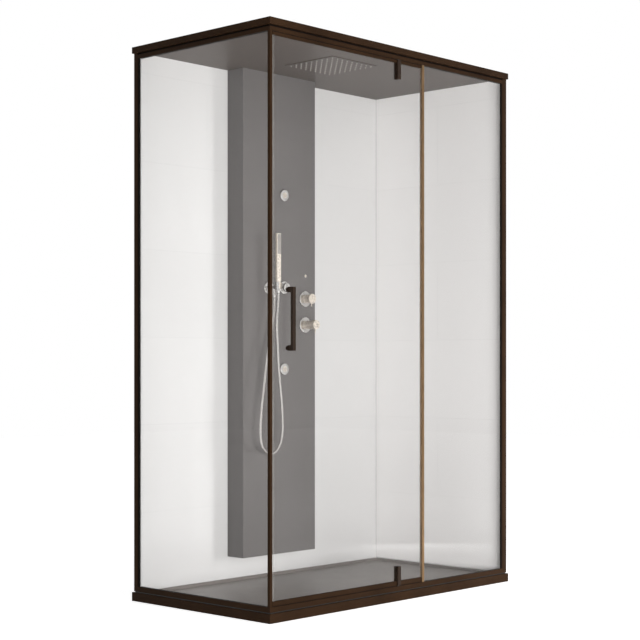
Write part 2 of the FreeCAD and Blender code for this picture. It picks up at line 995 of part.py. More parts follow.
def back_frame():
    rear = frame_y - frame_skin
    left = -frame_x + profile_depth
    right = batten_x
    bars = [
        tube_bar(left, right, stud_y, rear, tray_height, tray_height + stud_width, "x"),
        tube_bar(left, right, stud_y, rear, header_top - stud_width, header_top, "x"),
    ]
    bay = (column_left - stud_width - left) / 2
    places = [
        left,
        left + bay,
        column_left - stud_width,
        column_right,
        (column_right + right - stud_width) / 2,
        right - stud_width,
    ]
    for x in places:
        bars.append(
            tube_bar(x, x + stud_width, stud_y, rear, tray_height + stud_width, header_top - stud_width, "z")
        )
    return bars


right_panel_front = -frame_y + profile_depth
keep("right_wall_panel", box(wall_x, batten_x, right_panel_front, wall_y, tray_height, ceiling_z))


def battens():
    outer = frame_x - frame_skin
    front = right_panel_front
    rear = frame_y - frame_skin
    bars = [
        box(batten_x, outer, front, rear, tray_height, tray_height + batten_width),
        box(batten_x, outer, front, rear, header_top - batten_width, header_top),
    ]
    for y in (front, (front + rear - batten_width) / 2, rear - batten_width):
        bars.append(
            box(batten_x, outer, y, y + batten_width, tray_height + batten_width, header_top - batten_width)
        )
    return bars


keep("wall_studs", *back_frame(), *battens())

# ---------------------------------------------------------------- roof
ledge = half_width - fascia_ledge
ledge_y = half_depth - fascia_ledge
keep(
    "roof_spacers",
    box(-ledge, right_channel_edge, -ledge_y, -frame_y + profile_depth, header_top, ceiling_z),
    box(-ledge, -frame_x + profile_depth, -frame_y + profile_depth, left_channel_edge, header_top, ceiling_z),
    box(-frame_x + profile_depth, batten_x, stud_y, ledge_y, header_top, ceiling_z),
)
ceiling_hole = rain_chamber / 2 + 1.0
riser_hole = pipe + 2 * pipe_room
riser_y = column_front + column_depth / 2
ceiling_top = ceiling_z + ceiling_thickness


def ceiling_panel():
    panel = box(-ledge, ledge, -ledge_y, ledge_y, ceiling_z, ceiling_top)
    hole = slab(
        rounded_rectangle(
            column_x - ceiling_hole, column_x + ceiling_hole,
            rain_y - ceiling_hole, rain_y + ceiling_hole, rain_corner,
        ),
        ceiling_z, ceiling_top,
    )
    return panel.cut(hole).cut(rod(riser_hole, Vec(column_x, riser_y, ceiling_z), UP, ceiling_thickness))


keep("ceiling_panel", ceiling_panel())

cover_bottom = cabin_height - trim_wall - roof_cover_thickness
joist_places = (-0.75, -0.3, 0.26, 0.75)
keep(
    "roof_joists",
    *[
        box(
            place * half_width - joist_width / 2, place * half_width + joist_width / 2,
            -ledge_y, ledge_y, ceiling_top, cover_bottom,
        )
        for place in joist_places
    ],
)
keep(
    "roof_cover",
    box(
        -half_width + trim_wall, half_width - trim_wall, -half_depth + trim_wall, half_depth - trim_wall,
        cover_bottom, cabin_height - trim_wall,
    ),
)


def rain_head():
    half = rain_plate / 2
    plate = slab(
        rounded_rectangle(column_x - half, column_x + half, rain_y - half, rain_y + half, rain_corner),
        ceiling_z - rain_plate_thickness, ceiling_z,
    )
    half = rain_chamber / 2
    chamber = slab(
        rounded_rectangle(column_x - half, column_x + half, rain_y - half, rain_y + half, rain_corner),
        ceiling_z, ceiling_z + rain_chamber_height,
    )
    head = plate.fuse(chamber)
    drip = Part.makeCone(
        nozzle_root / 2, nozzle_tip / 2, nozzle_length, Vec(0, 0, ceiling_z - rain_plate_thickness), DOWN
    )
    first = -nozzle_pitch * (nozzle_count - 1) / 2
    nozzles = []
    for column in range(nozzle_count):
        for row in range(nozzle_count):
            nozzle = drip.copy()
            nozzle.translate(
                Vec(column_x + first + column * nozzle_pitch, rain_y + first + row * nozzle_pitch, 0)
            )
            nozzles.append(nozzle)
    return head.fuse(nozzles)


keep("rain_head", rain_head())

# ---------------------------------------------------------------- services column
knob_places = {"diverter": diverter_z, "mixer": mixer_z}
outlet_neck = 26.0
stop_neck = 32.0


def column_cover():
    outer = [
        (column_left, wall_y),
        (column_left, column_front, column_radius),
        (column_right, column_front, column_radius),
        (column_right, wall_y),
        (column_right - column_sheet, wall_y),
        (column_right - column_sheet, column_front + column_sheet, column_radius - column_sheet),
        (column_left + column_sheet, column_front + column_sheet, column_radius - column_sheet),
        (column_left + column_sheet, wall_y),
    ]
    cover = slab(outer, column_bottom, ceiling_z)
    holes = [
        (outlet_x, outlet_z, outlet_neck),
        (jet_x, jet_upper_z, jet_barrel),
        (jet_x, jet_lower_z, jet_barrel),
        (jet_x, stop_z, stop_neck),
        (knob_x, diverter_z, valve_nose),
        (knob_x, mixer_z, valve_nose),
        (button_x, button_z, switch_diameter),
    ]
    for x, z, diameter in holes:
        start = Vec(x, column_front - 1, z)
        cover = cover.cut(rod(diameter + 2 * clearance, start, TO_REAR, column_sheet + 2))
    return cover


keep("column_cover", column_cover())

inside_left = column_left + column_sheet
inside_right = column_right - column_sheet
steam_x = column_right - steam_inset
steam_bore = steam_pipe + pipe_room


def end_cap(z0):
    corner = column_radius - column_sheet
    corners = [
        (inside_left, column_front + column_sheet, corner),
        (inside_right, column_front + column_sheet, corner),
        (inside_right, wall_y - chassis_sheet),
        (inside_left, wall_y - chassis_sheet),
    ]
    return slab(corners, z0, z0 + column_sheet)


steam_hole = rod(steam_bore, Vec(steam_x, riser_y, column_bottom), UP, column_sheet)
bottom_cap = end_cap(column_bottom).cut(steam_hole)
top_z = ceiling_z - column_sheet
top_cap = end_cap(top_z).cut(rod(riser_hole, Vec(column_x, riser_y, top_z), UP, column_sheet))
keep("column_end_caps", bottom_cap, top_cap)


def chassis():
    plate = wall_y - chassis_sheet
    lip = wall_y - chassis_flange
    corners = [
        (inside_left, wall_y),
        (inside_left, lip),
        (inside_left + chassis_sheet, lip),
        (inside_left + chassis_sheet, plate),
        (inside_right - chassis_sheet, plate),
        (inside_right - chassis_sheet, lip),
        (inside_right, lip),
        (inside_right, wall_y),
    ]
    back = slab(corners, column_bottom + 2 * column_sheet, ceiling_z - 2 * column_sheet)
    for x in inlet_places:
        back = back.cut(rod(inlet_hole, Vec(x, plate - 1, mixer_z), TO_REAR, chassis_sheet + 2))
    return back.cut(rod(cable_hole, Vec(gland_x, plate - 1, gland_z), TO_REAR, chassis_sheet + 2))


keep("column_chassis", chassis())

# ---------------------------------------------------------------- valves and knobs
chassis_face = wall_y - chassis_sheet
valve_depth = chassis_face - column_front


def valve_body(z):
    return off_column(
        [
            (0, -valve_depth),
            (valve_rear / 2, -valve_depth),
            (valve_rear / 2, valve_shoulder - valve_depth),
            (valve_diameter / 2, valve_shoulder - valve_depth, 3),
            (valve_diameter / 2, -valve_nose_length, 3),
            (valve_nose / 2, -valve_nose_length),
            (valve_nose / 2, 0),
            (spindle_diameter / 2, 0),
            (spindle_diameter / 2, spindle_reach),
            (0, spindle_reach),
        ],
        knob_x,
        z,
    )


def mixer_body():
    manifold_y = wall_y - manifold_setback
    start = Vec(inlet_places[0] - manifold_end, manifold_y, mixer_z)
    body = valve_body(mixer_z)
    body = body.fuse(rod(manifold_diameter, start, TO_RIGHT, inlet_spacing + 2 * manifold_end))
    thread_end = half_depth - inlet_inset
    for x in inlet_places:
        neck = rod(inlet_neck, Vec(x, manifold_y, mixer_z), TO_REAR, thread_end - inlet_length - manifold_y)
        thread = rod(inlet_diameter, Vec(x, thread_end - inlet_length, mixer_z), TO_REAR, inlet_length)
        body = body.fuse(neck).fuse(thread)
    return body.removeSplitter()


keep("valve_bodies", mixer_body(), valve_body(diverter_z))
escutcheon = [
    (escutcheon_bore / 2, 0),
    (escutcheon_diameter / 2, 0),
    (escutcheon_diameter / 2, escutcheon_thickness, 4),
    (escutcheon_bore / 2, escutcheon_thickness, 1),
]
keep("valve_escutcheons", *[off_column(escutcheon, knob_x, z) for z in knob_places.values()])


def knob(z, cap_diameter, cap_start, front, lever):
    """Turned knob: slim barrel, shadow groove, wider cap, and a short pin that points down."""
    start = escutcheon_thickness + clearance
    bore = spindle_diameter / 2 + running_fit
    bore_end = spindle_reach + 2
    barrel = barrel_diameter / 2
    root = barrel_diameter / 4
    body = off_column(
        [
            (bore, start),
            (barrel, start, 1),
            (barrel, cap_start - knob_groove),
            (barrel - knob_groove, cap_start - knob_groove),
            (barrel - knob_groove, cap_start),
            (cap_diameter / 2, cap_start, 1),
            (cap_diameter / 2, front, 1.5),
            (0, front),
            (0, bore_end),
            (bore, bore_end),
        ],
        knob_x,
        z,
    )
    pin_base = Vec(knob_x, column_front - (cap_start + front) / 2, z - root)
    return body.fuse(rod(lever_diameter, pin_base, DOWN, lever - root))


keep("diverter_knob", knob(diverter_z, diverter_cap, diverter_cap_start, diverter_front, diverter_lever))
keep("mixer_knob", knob(mixer_z, mixer_cap, mixer_cap_start, mixer_front, mixer_lever))

# ---------------------------------------------------------------- stop valve for the hand shower
stop_depth = 42.0
stop_stem = 14.0
stop_reach = 13.0
keep(
    "stop_valve",
    off_column(
        [
            (0, -stop_depth),
            (stop_neck / 2, -stop_depth, 2),
            (stop_neck / 2, 0),
            (rosette_diameter / 2, 0),
            (rosette_diameter / 2, rosette_thickness, 3),
            (stop_stem / 2, rosette_thickness),
            (stop_stem / 2, stop_reach),
            (0, stop_reach),
        ],
        jet_x,
        stop_z,
    ),
)
stop_bore = stop_stem / 2 + running_fit
stop_front = 22.0
stop_knob_diameter = 40.0
grip_half = 3.0
grip_reach = 17.0
grip_proud = 3.0


def stop_knob():
    start = rosette_thickness + clearance
    body = off_column(
        [
            (stop_bore, start),
            (stop_knob_diameter / 2, start, 1),
            (stop_knob_diameter / 2, stop_front, 3),
            (0, stop_front),
            (0, stop_reach + 2),
            (stop_bore, stop_reach + 2),
        ],
        jet_x,
        stop_z,
    )
    face_y = column_front - stop_front
    grip = box(
        jet_x - grip_half, jet_x + grip_half,
        face_y - grip_proud, face_y + 1, stop_z - grip_reach, stop_z + grip_reach,
    )
    return body.fuse(grip)


keep("stop_knob", stop_knob())

# ---------------------------------------------------------------- body jets
ball_radius = jet_ball / 2
ball_centre = 1.0
ball_flat = 8.0
jet_tail = 16.0
jet_tail_length = 10.0
jet_hole_circle = 6.0
jet_hole_depth = 4.0


def jet_body(z):
    centre = Vec(jet_x, column_front - ball_centre, z)
    body = off_column(
        [
            (0, -jet_depth),
            (jet_tail / 2, -jet_depth),
            (jet_tail / 2, jet_tail_length - jet_depth),
            (jet_barrel / 2, jet_tail_length - jet_depth, 2),
            (jet_barrel / 2, 0),
            (jet_flange / 2, 0),
            (jet_flange / 2, jet_flange_thickness, 3.5),
            (0, jet_flange_thickness),
        ],
        jet_x,
        z,
    )
    chamber_end = Vec(jet_x, column_front + jet_chamber_length, z)
    body = body.cut(Part.makeSphere(ball_radius + clearance, centre))
    return body.cut(rod(jet_chamber, chamber_end, TO_FRONT, jet_chamber_length))


def jet_nozzle(z):
    """Ball with both poles cut flat and a ring of spray holes in the front one."""
    ball = Part.makeSphere(ball_radius)
    nozzle = ball.common(box(-ball_radius, ball_radius, -ball_flat, ball_flat, -ball_radius, ball_radius))
    hole = rod(jet_hole_diameter, Vec(0, -ball_flat, 0), TO_REAR, jet_hole_depth)
    nozzle = nozzle.cut(hole)
    hole.translate(Vec(jet_hole_circle, 0, 0))
    for index in range(jet_holes):
        nozzle = nozzle.cut(hole)
        hole.rotate(Vec(0, 0, 0), TO_FRONT, 360 / jet_holes)
    nozzle.translate(Vec(jet_x, column_front - ball_centre, z))
    return nozzle


keep("jet_bodies", jet_body(jet_upper_z), jet_body(jet_lower_z))
keep("jet_nozzle_upper", jet_nozzle(jet_upper_z))
keep("jet_nozzle_lower", jet_nozzle(jet_lower_z))

# ---------------------------------------------------------------- start button
button_reach = button_bezel_thickness + button_travel + 0.6
bezel_bore = button_diameter / 2 + 0.1
button_back = 12.0
bezel_floor = button_back + button_travel + clearance
keep(
    "button_bezel",
    off_column(
        [
            (0, -switch_length),
            (switch_diameter / 2, -switch_length),
            (switch_diameter / 2, 0),
            (button_bezel / 2, 0),
            (button_bezel / 2, button_bezel_thickness, 1),
            (bezel_bore, button_bezel_thickness),
            (bezel_bore, -bezel_floor),
            (0, -bezel_floor),
        ],
        button_x,
        button_z,
    ),
)
keep(
    "steam_button",
    off_column(
        [
            (0, -button_back),
            (button_diameter / 2, -button_back),
            (button_diameter / 2, button_reach, 0.8),
            (0, button_reach),
        ],
        button_x,
        button_z,
    ),
)

# ---------------------------------------------------------------- wall outlet, hand shower and its holder
cup_y = column_front - cup_reach
nipple_y = column_front - nipple_reach
cup_bottom = outlet_z - cup_below_arm
cup_top = cup_bottom + cup_height
shower_axis = Vec(outlet_x, cup_y, 0)
nipple_low = outlet_z - nipple_length
arm_stop = nut_diameter / 2 + 1.5


def wall_outlet():
    body = off_column(
        [
            (0, -outlet_tail),
            (outlet_neck / 2, -outlet_tail),
            (outlet_neck / 2, 0),
            (rosette_diameter / 2, 0),
            (rosette_diameter / 2, rosette_thickness, 3),
            (arm_diameter / 2, rosette_thickness),
            (arm_diameter / 2, cup_reach - arm_stop),
            (0, cup_reach - arm_stop),
        ],
        outlet_x,
        outlet_z,
    )
    cup = turned(
        [
            (0, cup_bottom),
            (cup_diameter / 2 - cup_taper, cup_bottom, 1),
            (cup_diameter / 2, cup_top, 1),
            (0, cup_top),
        ],
        shower_axis,
        UP,
    )
    nipple = rod(arm_diameter - 1, Vec(outlet_x, nipple_y, nipple_low), UP, outlet_z - nipple_low)
    body = body.fuse(cup).fuse(nipple)
    socket = Part.makeCone(
        cone_bottom / 2 + clearance, cone_top / 2 + clearance, cup_height,
        Vec(outlet_x, cup_y, cup_bottom), UP,
    )
    slot = box(
        outlet_x - cup_slot / 2, outlet_x + cup_slot / 2,
        cup_y - cup_diameter, cup_y, cup_bottom - 1, cup_top + 1,
    )
    return body.cut(socket).cut(slot).removeSplitter()


keep("wall_outlet", wall_outlet())


def hand_shower():
    stick = slab(
        rounded_rectangle(
            outlet_x - shower_width / 2, outlet_x + shower_width / 2,
            cup_y - shower_thickness / 2, cup_y + shower_thickness / 2, shower_radius,
        ),
        shower_bottom, shower_top,
    )
    recess = box(
        outlet_x - spray_width / 2, outlet_x + spray_width / 2,
        cup_y - shower_thickness / 2 - 1, cup_y - shower_thickness / 2 + spray_thickness,
        shower_top - spray_margin - spray_length, shower_top - spray_margin,
    )
    cone = Part.makeCone(
        cone_bottom / 2, cone_top / 2, cup_height, Vec(outlet_x, cup_y, cup_bottom), UP
    )
    shoulder = rod(cone_top - 2, Vec(outlet_x, cup_y, cup_top), UP, shower_bottom - cup_top + 3)
    return stick.cut(recess).fuse(cone).fuse(shoulder)


keep("hand_shower", hand_shower())
keep(
    "spray_plate",
    box(
        outlet_x - spray_width / 2 + clearance / 2, outlet_x + spray_width / 2 - clearance / 2,
        cup_y - shower_thickness / 2, cup_y - shower_thickness / 2 + spray_thickness,
        shower_top - spray_margin - spray_length + clearance / 2, shower_top - spray_margin - clearance / 2,
    ),
)


def hose_nut(y, z_top):
    """Conical hose nut, wide end up."""
    return turned(
        [
            (0, z_top - nut_length),
            (hose_diameter / 2 + nut_lip, z_top - nut_length),
            (nut_diameter / 2, z_top - nut_length + nut_cone),
            (nut_diameter / 2, z_top),
            (0, z_top),
        ],
        Vec(outlet_x, y, 0),
        UP,
    )


keep("hose_nut_wall", hose_nut(nipple_y, nipple_low))
keep("hose_nut_shower", hose_nut(cup_y, cup_bottom))

# Route of the hose, from the wall nut down, round the loop and up to the hand shower's nut.
hose_route = [
    (outlet_x, nipple_y, nipple_low - nut_length),
    (outlet_x, nipple_y, 1222),
    (-97, 234, 1172),
    (-115, 231, 1112),
    (-137, 226, 1045),
    (-156, 220, 965),
    (-173, 215, 880),
    (-189, 212, 798),
    (-199, 211, 722),
    (-199, 211, 656),
    (-191, 211, 617),
    (-166, 211, 588),
    (-129, 211, 580),
    (-95, 211, 597),
    (-75, 211, 629),
    (-65, 211, 670),
    (-64, 211, 726),
    (-69, 211, 798),
    (-80, 211, 880),
    (-91, 210, 966),
    (-96, 210, 1048),
    (-101, 210, 1120),
    (-99, 210, 1184),
    (outlet_x, cup_y, 1237),
    (outlet_x, cup_y, cup_bottom - nut_length - clearance),
]


def free_hose(route):
    points = [Vec(*place) for place in route]
    bends = []
    for before, here, after in zip(points, points[1:], points[2:]):
        shorter = min((before - here).Length, (after - here).Length)
        turn = (here - before).getAngle(after - here)
        bends.append(0.45 * shorter / math.tan(turn / 2))
    print("hose bend radii:", [round(value) for value in bends])
    tube = pipe_run(points, hose_diameter, bends)
    area = math.pi * hose_diameter ** 2 / 4
    runs = sum((b - a).Length for a, b in zip(points, points[1:]))
    print("hose length from volume:", round(tube.Volume / area), "runs added up:", round(runs))
    return tube


keep("shower_hose", free_hose(hose_route))

# ---------------------------------------------------------------- pipework and steam generator
jet_feed_y = column_front + jet_depth + pipe / 2
hand_feed_y = column_front + hand_feed_depth
top_pipe_z = ceiling_top + (cover_bottom - ceiling_top) / 2
tank_left = column_x - tank_width / 2
tank_top = tank_bottom + tank_height
steam_pipe_low = column_bottom + 10.0
valve_left = knob_x - valve_diameter / 2
riser = pipe_run(
    [
        Vec(knob_x, riser_y, diverter_z + valve_diameter / 2),
        Vec(knob_x, riser_y, riser_turn_z),
        Vec(column_x, riser_y, riser_turn_z),
        Vec(column_x, riser_y, top_pipe_z),
        Vec(column_x, rain_y + rain_chamber / 2, top_pipe_z),
    ],
    pipe,
    [riser_bend, riser_bend, roof_elbow],
)
link_start = Vec(knob_x, riser_y, mixer_z + valve_diameter / 2)
link = rod(pipe, link_start, UP, diverter_z - mixer_z - valve_diameter)
jet_feed = rod(pipe, Vec(jet_x, jet_feed_y, jet_lower_z), UP, jet_upper_z - jet_lower_z)
branch_start = Vec(jet_x + pipe / 2, jet_feed_y, diverter_z)
jet_branch = rod(pipe, branch_start, TO_RIGHT, valve_left - branch_start.x)
hand_feed = pipe_run(
    [
        Vec(valve_left, hand_feed_y, diverter_z),
        Vec((valve_left + jet_x) / 2, hand_feed_y, diverter_z),
        Vec((valve_left + jet_x) / 2, hand_feed_y, stop_z),
        Vec(jet_x + stop_neck / 2, hand_feed_y, stop_z),
    ],
    pipe,
    hand_bend,
)
hand_link = rod(
    pipe, Vec(outlet_x + outlet_neck / 2, hand_feed_y, outlet_z), TO_RIGHT,
    jet_x - stop_neck / 2 - outlet_x - outlet_neck / 2,
)
steam_rise_x = tank_left + tank_width - steam_pipe_inset
steam_turn_z = tank_top + steam_pipe_rise
steam_line = pipe_run(
    [
        Vec(steam_rise_x, riser_y, tank_top),
        Vec(steam_rise_x, riser_y, steam_turn_z),
        Vec(steam_x, riser_y, steam_turn_z),
        Vec(steam_x, riser_y, steam_pipe_low),
    ],
    steam_pipe,
    steam_bend,
)
keep("pipework", riser, link, jet_feed, jet_branch, hand_feed, hand_link, steam_line)
keep(
    "steam_outlet",
    turned(
        [
            (0, -steam_cap),
            (steam_outlet / 2 - steam_cap_bevel, -steam_cap),
            (steam_outlet / 2, 0),
            (steam_pipe / 2, 0),
            (steam_pipe / 2, steam_pipe_low - column_bottom),
            (0, steam_pipe_low - column_bottom),
        ],
        Vec(steam_x, riser_y, column_bottom),
        UP,
    ),
)


def steam_generator():
    tank = slab(
        rounded_rectangle(
            tank_left, tank_left + tank_width, chassis_face - tank_depth, chassis_face, tank_radius
        ),
        tank_bottom, tank_top,
    )
    control_left = tank_left + control_inset
    control = slab(
        rounded_rectangle(
            control_left, control_left + control_width,
            chassis_face - control_depth, chassis_face, control_radius,
        ),
        tank_top, tank_top + control_height,
    )
    return tank.fuse(control)


keep("steam_generator", steam_generator())
gland_length = half_depth - inlet_inset - stud_y
hexagon = [
    (gland_hex / 2 * math.cos(math.radians(60 * k)), gland_hex / 2 * math.sin(math.radians(60 * k)))
    for k in range(6)
]
gland = slab(hexagon, 0, gland_length * 0.6).fuse(rod(gland_hex * 0.75, Vec(0, 0, 0), UP, gland_length))
gland = gland.cut(rod(gland_bore, Vec(0, 0, -1), UP, gland_length + 2))
gland.Placement = FreeCAD.Placement(Vec(gland_x, stud_y, gland_z), FreeCAD.Rotation(UP, TO_REAR))
keep("cable_gland", gland)

# ---------------------------------------------------------------- export
os.makedirs("parts", exist_ok=True)
for node, shape in parts.items():
    if not shape.isValid():
        print("invalid shape:", node)
    shape.exportStep("parts/" + node + ".step")
print(len(parts), "sub-parts")
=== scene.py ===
import json
import math

import bmesh
import bpy
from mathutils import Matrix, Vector


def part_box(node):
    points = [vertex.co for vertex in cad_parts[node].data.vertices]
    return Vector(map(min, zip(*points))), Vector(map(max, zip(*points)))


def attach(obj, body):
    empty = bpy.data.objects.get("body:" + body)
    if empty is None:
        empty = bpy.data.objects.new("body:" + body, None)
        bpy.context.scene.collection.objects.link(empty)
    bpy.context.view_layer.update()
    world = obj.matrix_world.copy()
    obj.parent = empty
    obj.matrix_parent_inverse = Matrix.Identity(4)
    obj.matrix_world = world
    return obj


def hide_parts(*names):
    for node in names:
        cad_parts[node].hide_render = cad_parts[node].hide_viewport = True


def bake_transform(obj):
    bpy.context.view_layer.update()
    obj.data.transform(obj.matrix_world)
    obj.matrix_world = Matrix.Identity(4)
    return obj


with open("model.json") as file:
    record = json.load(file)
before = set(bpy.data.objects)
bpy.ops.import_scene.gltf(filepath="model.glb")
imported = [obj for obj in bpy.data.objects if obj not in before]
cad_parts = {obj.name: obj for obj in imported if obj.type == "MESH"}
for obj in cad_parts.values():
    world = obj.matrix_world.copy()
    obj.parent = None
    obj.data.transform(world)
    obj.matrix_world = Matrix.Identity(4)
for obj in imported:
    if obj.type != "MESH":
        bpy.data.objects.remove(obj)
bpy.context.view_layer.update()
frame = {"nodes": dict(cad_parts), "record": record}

# Steam shower cabin, dressed over its solids. Metres. +Z up, the door looks to -Y.

NODES = frame["nodes"]
UP = Vector((0, 0, 1))
DOWN = Vector((0, 0, -1))
TO_FRONT = Vector((0, -1, 0))
TO_REAR = Vector((0, 1, 0))


# ---------------------------------------------------------------- camera
CAMERA_PLACE = (-4.6449, -4.3078, 0.9670)
CAMERA_YAW = -46.84
CAMERA_LENS = 83.31
CAMERA_SHIFT_UP = 0.0696


def add_camera():
    data = bpy.data.cameras.new("photo_view")
    data.lens = CAMERA_LENS
    data.sensor_width = 36.0
    data.shift_y = CAMERA_SHIFT_UP
    camera = bpy.data.objects.new("photo_view", data)
    camera.location = CAMERA_PLACE
    camera.rotation_euler = (math.radians(90), 0, math.radians(CAMERA_YAW))
    bpy.context.collection.objects.link(camera)
    bpy.context.scene.camera = camera


# ---------------------------------------------------------------- material parts
class Surface:
    """A node material around one principled shader."""

    def __init__(self, name, colour, roughness, metallic=0.0):
        self.material = bpy.data.materials.new(name)
        self.material.use_nodes = True
        self.tree = self.material.node_tree
        self.shader = self.tree.nodes["Principled BSDF"]
        self.output = self.tree.nodes["Material Output"]
        self.set("Base Color", (*colour, 1.0))
        self.set("Roughness", roughness)
        self.set("Metallic", metallic)
        self.place = self.node("ShaderNodeTexCoord").outputs["Object"]
        self.height = None

    def set(self, socket, value):
        self.shader.inputs[socket].default_value = value

    def node(self, kind, **settings):
        made = self.tree.nodes.new(kind)
        for key, value in settings.items():
            setattr(made, key, value)
        return made

    def link(self, source, target):
        self.tree.links.new(source, target)

    def stretched(self, scale):
        mapping = self.node("ShaderNodeMapping")
        mapping.inputs["Scale"].default_value = scale
        self.link(self.place, mapping.inputs["Vector"])
        return mapping.outputs["Vector"]

    def noise(self, scale, detail=3.0, stretch=(1, 1, 1)):
        made = self.node("ShaderNodeTexNoise")
        made.inputs["Scale"].default_value = scale
        made.inputs["Detail"].default_value = detail
        self.link(self.stretched(stretch), made.inputs["Vector"])
        return made.outputs["Fac"]

    def ramp(self, source, low, high, start=0.3, stop=0.7):
        made = self.node("ShaderNodeValToRGB")
        made.color_ramp.elements[0].position = start
        made.color_ramp.elements[0].color = (*low, 1.0)
        made.color_ramp.elements[1].position = stop
        made.color_ramp.elements[1].color = (*high, 1.0)
        self.link(source, made.inputs["Fac"])
        return made.outputs["Color"]

    def span(self, source, low, high, start=0.0, stop=1.0):
        made = self.node("ShaderNodeMapRange")
        made.inputs["From Min"].default_value = start
        made.inputs["From Max"].default_value = stop
        made.inputs["To Min"].default_value = low
        made.inputs["To Max"].default_value = high
        self.link(source, made.inputs["Value"])
        return made.outputs["Result"]

    def tint(self, source, low, high, start=0.3, stop=0.7):
        self.link(self.ramp(source, low, high, start, stop), self.shader.inputs["Base Color"])

    def outside(self, half_x, half_y):
        """1 beyond a rectangle about the origin in plan, 0 within it."""
        split = self.node("ShaderNodeSeparateXYZ")
        self.link(self.place, split.inputs["Vector"])
        beyond = []
        for axis, limit in (("X", half_x), ("Y", half_y)):
            size = self.node("ShaderNodeMath", operation="ABSOLUTE")
            self.link(split.outputs[axis], size.inputs[0])
            over = self.node("ShaderNodeMath", operation="GREATER_THAN")
            over.inputs[1].default_value = limit
            self.link(size.outputs["Value"], over.inputs[0])
            beyond.append(over.outputs["Value"])
        either = self.node("ShaderNodeMath", operation="MAXIMUM")
        self.link(beyond[0], either.inputs[0])
        self.link(beyond[1], either.inputs[1])
        return either.outputs["Value"]

    def gloss(self, source, low, high, start=0.3, stop=0.7):
        self.link(self.span(source, low, high, start, stop), self.shader.inputs["Roughness"])

    def bump(self, source, strength, distance):
        made = self.node("ShaderNodeBump")
        made.inputs["Strength"].default_value = strength
        made.inputs["Distance"].default_value = distance
        self.link(source, made.inputs["Height"])
        if self.height is not None:
            self.link(self.height, made.inputs["Normal"])
        self.height = made.outputs["Normal"]
        self.link(self.height, self.shader.inputs["Normal"])


def shade(colour, factor):
    return tuple(min(1.0, channel * factor) for channel in colour)


# ---------------------------------------------------------------- materials
# Width of the tray's outer band that is painted near black as shade in the groove over the plinth.
GROOVE_SHADE_BAND = 0.003
MIX_COLOUR_A = 6
MIX_COLOUR_B = 7
MIX_COLOUR_RESULT = 2


def bronze_frame():
    base = (0.026, 0.0128, 0.0060)
    made = Surface("frame_bronze", base, 0.34)
    made.set("Specular IOR Level", 0.03)
    cloud = made.noise(5.0, 4.0)
    made.tint(cloud, shade(base, 0.8), shade(base, 1.25))
    grain = made.noise(900.0, 2.0, (1, 1, 0.04))
    made.gloss(grain, 0.30, 0.42)
    made.bump(grain, 0.06, 0.0002)
    return made.material


def black_channel():
    made = Surface("channel_black", (0.007, 0.005, 0.004), 0.42)
    made.set("Specular IOR Level", 0.02)
    cloud = made.noise(60.0)
    made.gloss(cloud, 0.36, 0.5)
    made.bump(made.noise(1500.0), 0.08, 0.0001)
    return made.material


def bronze_hardware():
    base = (0.205, 0.125, 0.062)
    made = Surface("bronze_hardware", base, 0.30, 0.95)
    brushed = made.noise(700.0, 2.0, (1, 1, 0.03))
    made.tint(brushed, shade(base, 0.75), shade(base, 1.3))
    made.gloss(brushed, 0.24, 0.38)
    made.bump(brushed, 0.08, 0.0002)
    return made.material


def dark_handle():
    base = (0.020, 0.012, 0.008)
    made = Surface("handle_dark", base, 0.36)
    made.set("Specular IOR Level", 0.08)
    made.tint(made.noise(8.0), shade(base, 0.8), shade(base, 1.3))
    brushed = made.noise(800.0, 2.0, (1, 1, 0.03))
    made.gloss(brushed, 0.3, 0.44)
    made.bump(brushed, 0.08, 0.0002)
    return made.material


def clear_glass():
    """Thin clear pane: what is behind shows through, with a gloss that grows towards the edge of view."""
    material = bpy.data.materials.new("glass_clear")
    material.use_nodes = True
    tree = material.node_tree
    tree.nodes.clear()
    output = tree.nodes.new("ShaderNodeOutputMaterial")
    through = tree.nodes.new("ShaderNodeBsdfTransparent")
    through.inputs["Color"].default_value = (0.990, 0.989, 0.987, 1.0)
    gloss = tree.nodes.new("ShaderNodeBsdfGlossy")
    gloss.inputs["Roughness"].default_value = 0.015
    gloss.inputs["Color"].default_value = (0.92, 0.91, 0.90, 1.0)
    facing = tree.nodes.new("ShaderNodeLayerWeight")
    facing.inputs["Blend"].default_value = 0.5
    falloff = tree.nodes.new("ShaderNodeMath")
    falloff.operation = "POWER"
    falloff.inputs[1].default_value = 4.0
    tree.links.new(facing.outputs["Facing"], falloff.inputs[0])
    share = tree.nodes.new("ShaderNodeMapRange")
    share.inputs["To Min"].default_value = 0.011
    share.inputs["To Max"].default_value = 0.40
    tree.links.new(falloff.outputs["Value"], share.inputs["Value"])
    smear = tree.nodes.new("ShaderNodeTexNoise")
    smear.inputs["Scale"].default_value = 3.0
    place = tree.nodes.new("ShaderNodeTexCoord")
    tree.links.new(place.outputs["Object"], smear.inputs["Vector"])
    uneven = tree.nodes.new("ShaderNodeBump")
    uneven.inputs["Strength"].default_value = 0.02
    uneven.inputs["Distance"].default_value = 0.002
    tree.links.new(smear.outputs["Fac"], uneven.inputs["Height"])
    tree.links.new(uneven.outputs["Normal"], gloss.inputs["Normal"])
    pane = tree.nodes.new("ShaderNodeMixShader")
    tree.links.new(share.outputs["Result"], pane.inputs["Fac"])
    tree.links.new(through.outputs["BSDF"], pane.inputs[1])
    tree.links.new(gloss.outputs["BSDF"], pane.inputs[2])
    tree.links.new(pane.outputs["Shader"], output.inputs["Surface"])
    return material


